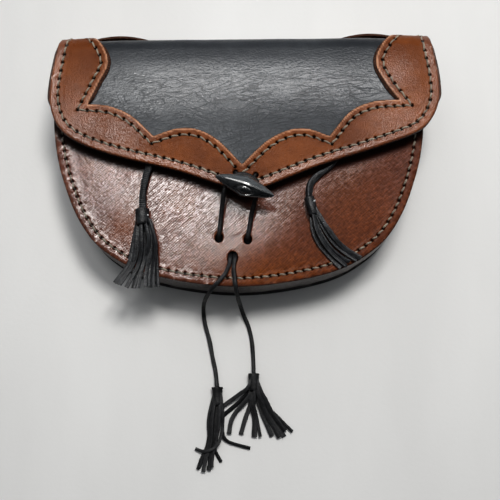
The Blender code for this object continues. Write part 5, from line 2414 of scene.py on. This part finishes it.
    def trim(self, finish: Material, thread: Material) -> None:
        """Builds the brown trim and its two rows of stitches.

        Args:
            finish: the trim's material.
            thread: the stitches' material.
        """
        outer = Seam(beside(self.outer(), -self.outer_margin), self.pitch)
        inner = Seam(beside(self.inner(), -self.inner_margin), self.pitch)
        lifted = Lifted(self.form, self.trim_lift)
        sheet = Sheet(
            "trim_leather",
            self.trim_outline(),
            lifted,
            self.thickness,
            0.95,
            seams=[outer, inner],
            holes=self.holes,
            relief=self.trim_relief,
            worn=self.inner(),
            wax=self.waxed,
            skive=self.skived,
            rim=0.5,
            rim_width=1.2,
        )
        sheet.build(finish, Slot.BROWN, ["flap_trim"])
        skip = [(x, y, self.hidden) for x, y, _, _ in self.holes]
        for name, seam in (("trim_outer_stitches", outer), ("trim_inner_stitches", inner)):
            finished(name, seam.stitches(lifted, self.thickness / 2, skip), thread)


BROWN = LeatherFinish(
    "brown_leather",
    (0.133, 0.0385, 0.0115),
    (0.224, 0.069, 0.019),
    (0.52, 0.27, 0.16),
    (0.10, 0.048, 0.032),
    Grain.SMOOTH,
    gloss=(0.26, 0.38),
    specular=0.06,
    wax=0.6,
    depth=0.17,
)
RED_BROWN = LeatherFinish(
    "red_brown_leather",
    (0.095, 0.026, 0.013),
    (0.155, 0.043, 0.019),
    (0.22, 0.085, 0.045),
    (0.05, 0.025, 0.02),
    Grain.HATCHED,
    gloss=(0.36, 0.48),
    warm=(0.20, 0.056, 0.011),
    specular=0.07,
    wax=1.0,
    wax_gloss=0.22,
)
CUT_GREY = (0.022, 0.024, 0.027)
BLACK = LeatherFinish(
    "black_leather",
    (0.022, 0.024, 0.028),
    (0.036, 0.039, 0.044),
    (0.05, 0.05, 0.052),
    CUT_GREY,
    Grain.PEBBLED,
    gloss=(0.3, 0.4),
    specular=0.12,
    tint=(0.92, 0.96, 1.0),
    wax=0.7,
    wax_gloss=0.22,
    depth=0.06,
)
DARK = LeatherFinish(
    "dark_leather",
    (0.056, 0.047, 0.045),
    (0.13, 0.112, 0.108),
    (0.14, 0.125, 0.12),
    CUT_GREY,
    Grain.SMOOTH,
    gloss=(0.34, 0.5),
)
FRESH_LACE = LaceFinish(
    "black_lace_fresh", (0.004, 0.004, 0.0045), (0.013, 0.0135, 0.015), (0.42, 0.7), 0.22
)
# The pins are pale metal; on the right tassel the pin's crescent that shows is a painted highlight
# on the hole's lower lip.
PIN = HornFinish("pin", (0.5, 0.5, 0.5), (0.8, 0.8, 0.8))


def main() -> None:
    """Builds the pouch and its setting."""
    logging.basicConfig(level=logging.INFO, format="%(message)s")
    studio = Studio()
    studio.camera()
    front = FrontForm()
    lace, fresh, pin = LaceFinish("black_lace").make(), FRESH_LACE.make(), PIN.make()
    for thong in tassels(front):
        thong.build(front, fresh if thong.hole is LOW_HOLE else lace, pin)
    thread = ThreadFinish("linen_thread").make()
    brown, red_brown, black, dark = (each.make() for each in (BROWN, RED_BROWN, BLACK, DARK))
    Toggle().build(front, HornFinish("black_horn").make(), fresh)
    flap = Flap()
    Body(front, flap.outer()).build(red_brown, dark, thread)
    flap.build(black, brown, thread)
    studio.lights()
    studio.ground()


if __name__ == "__main__":
    main()
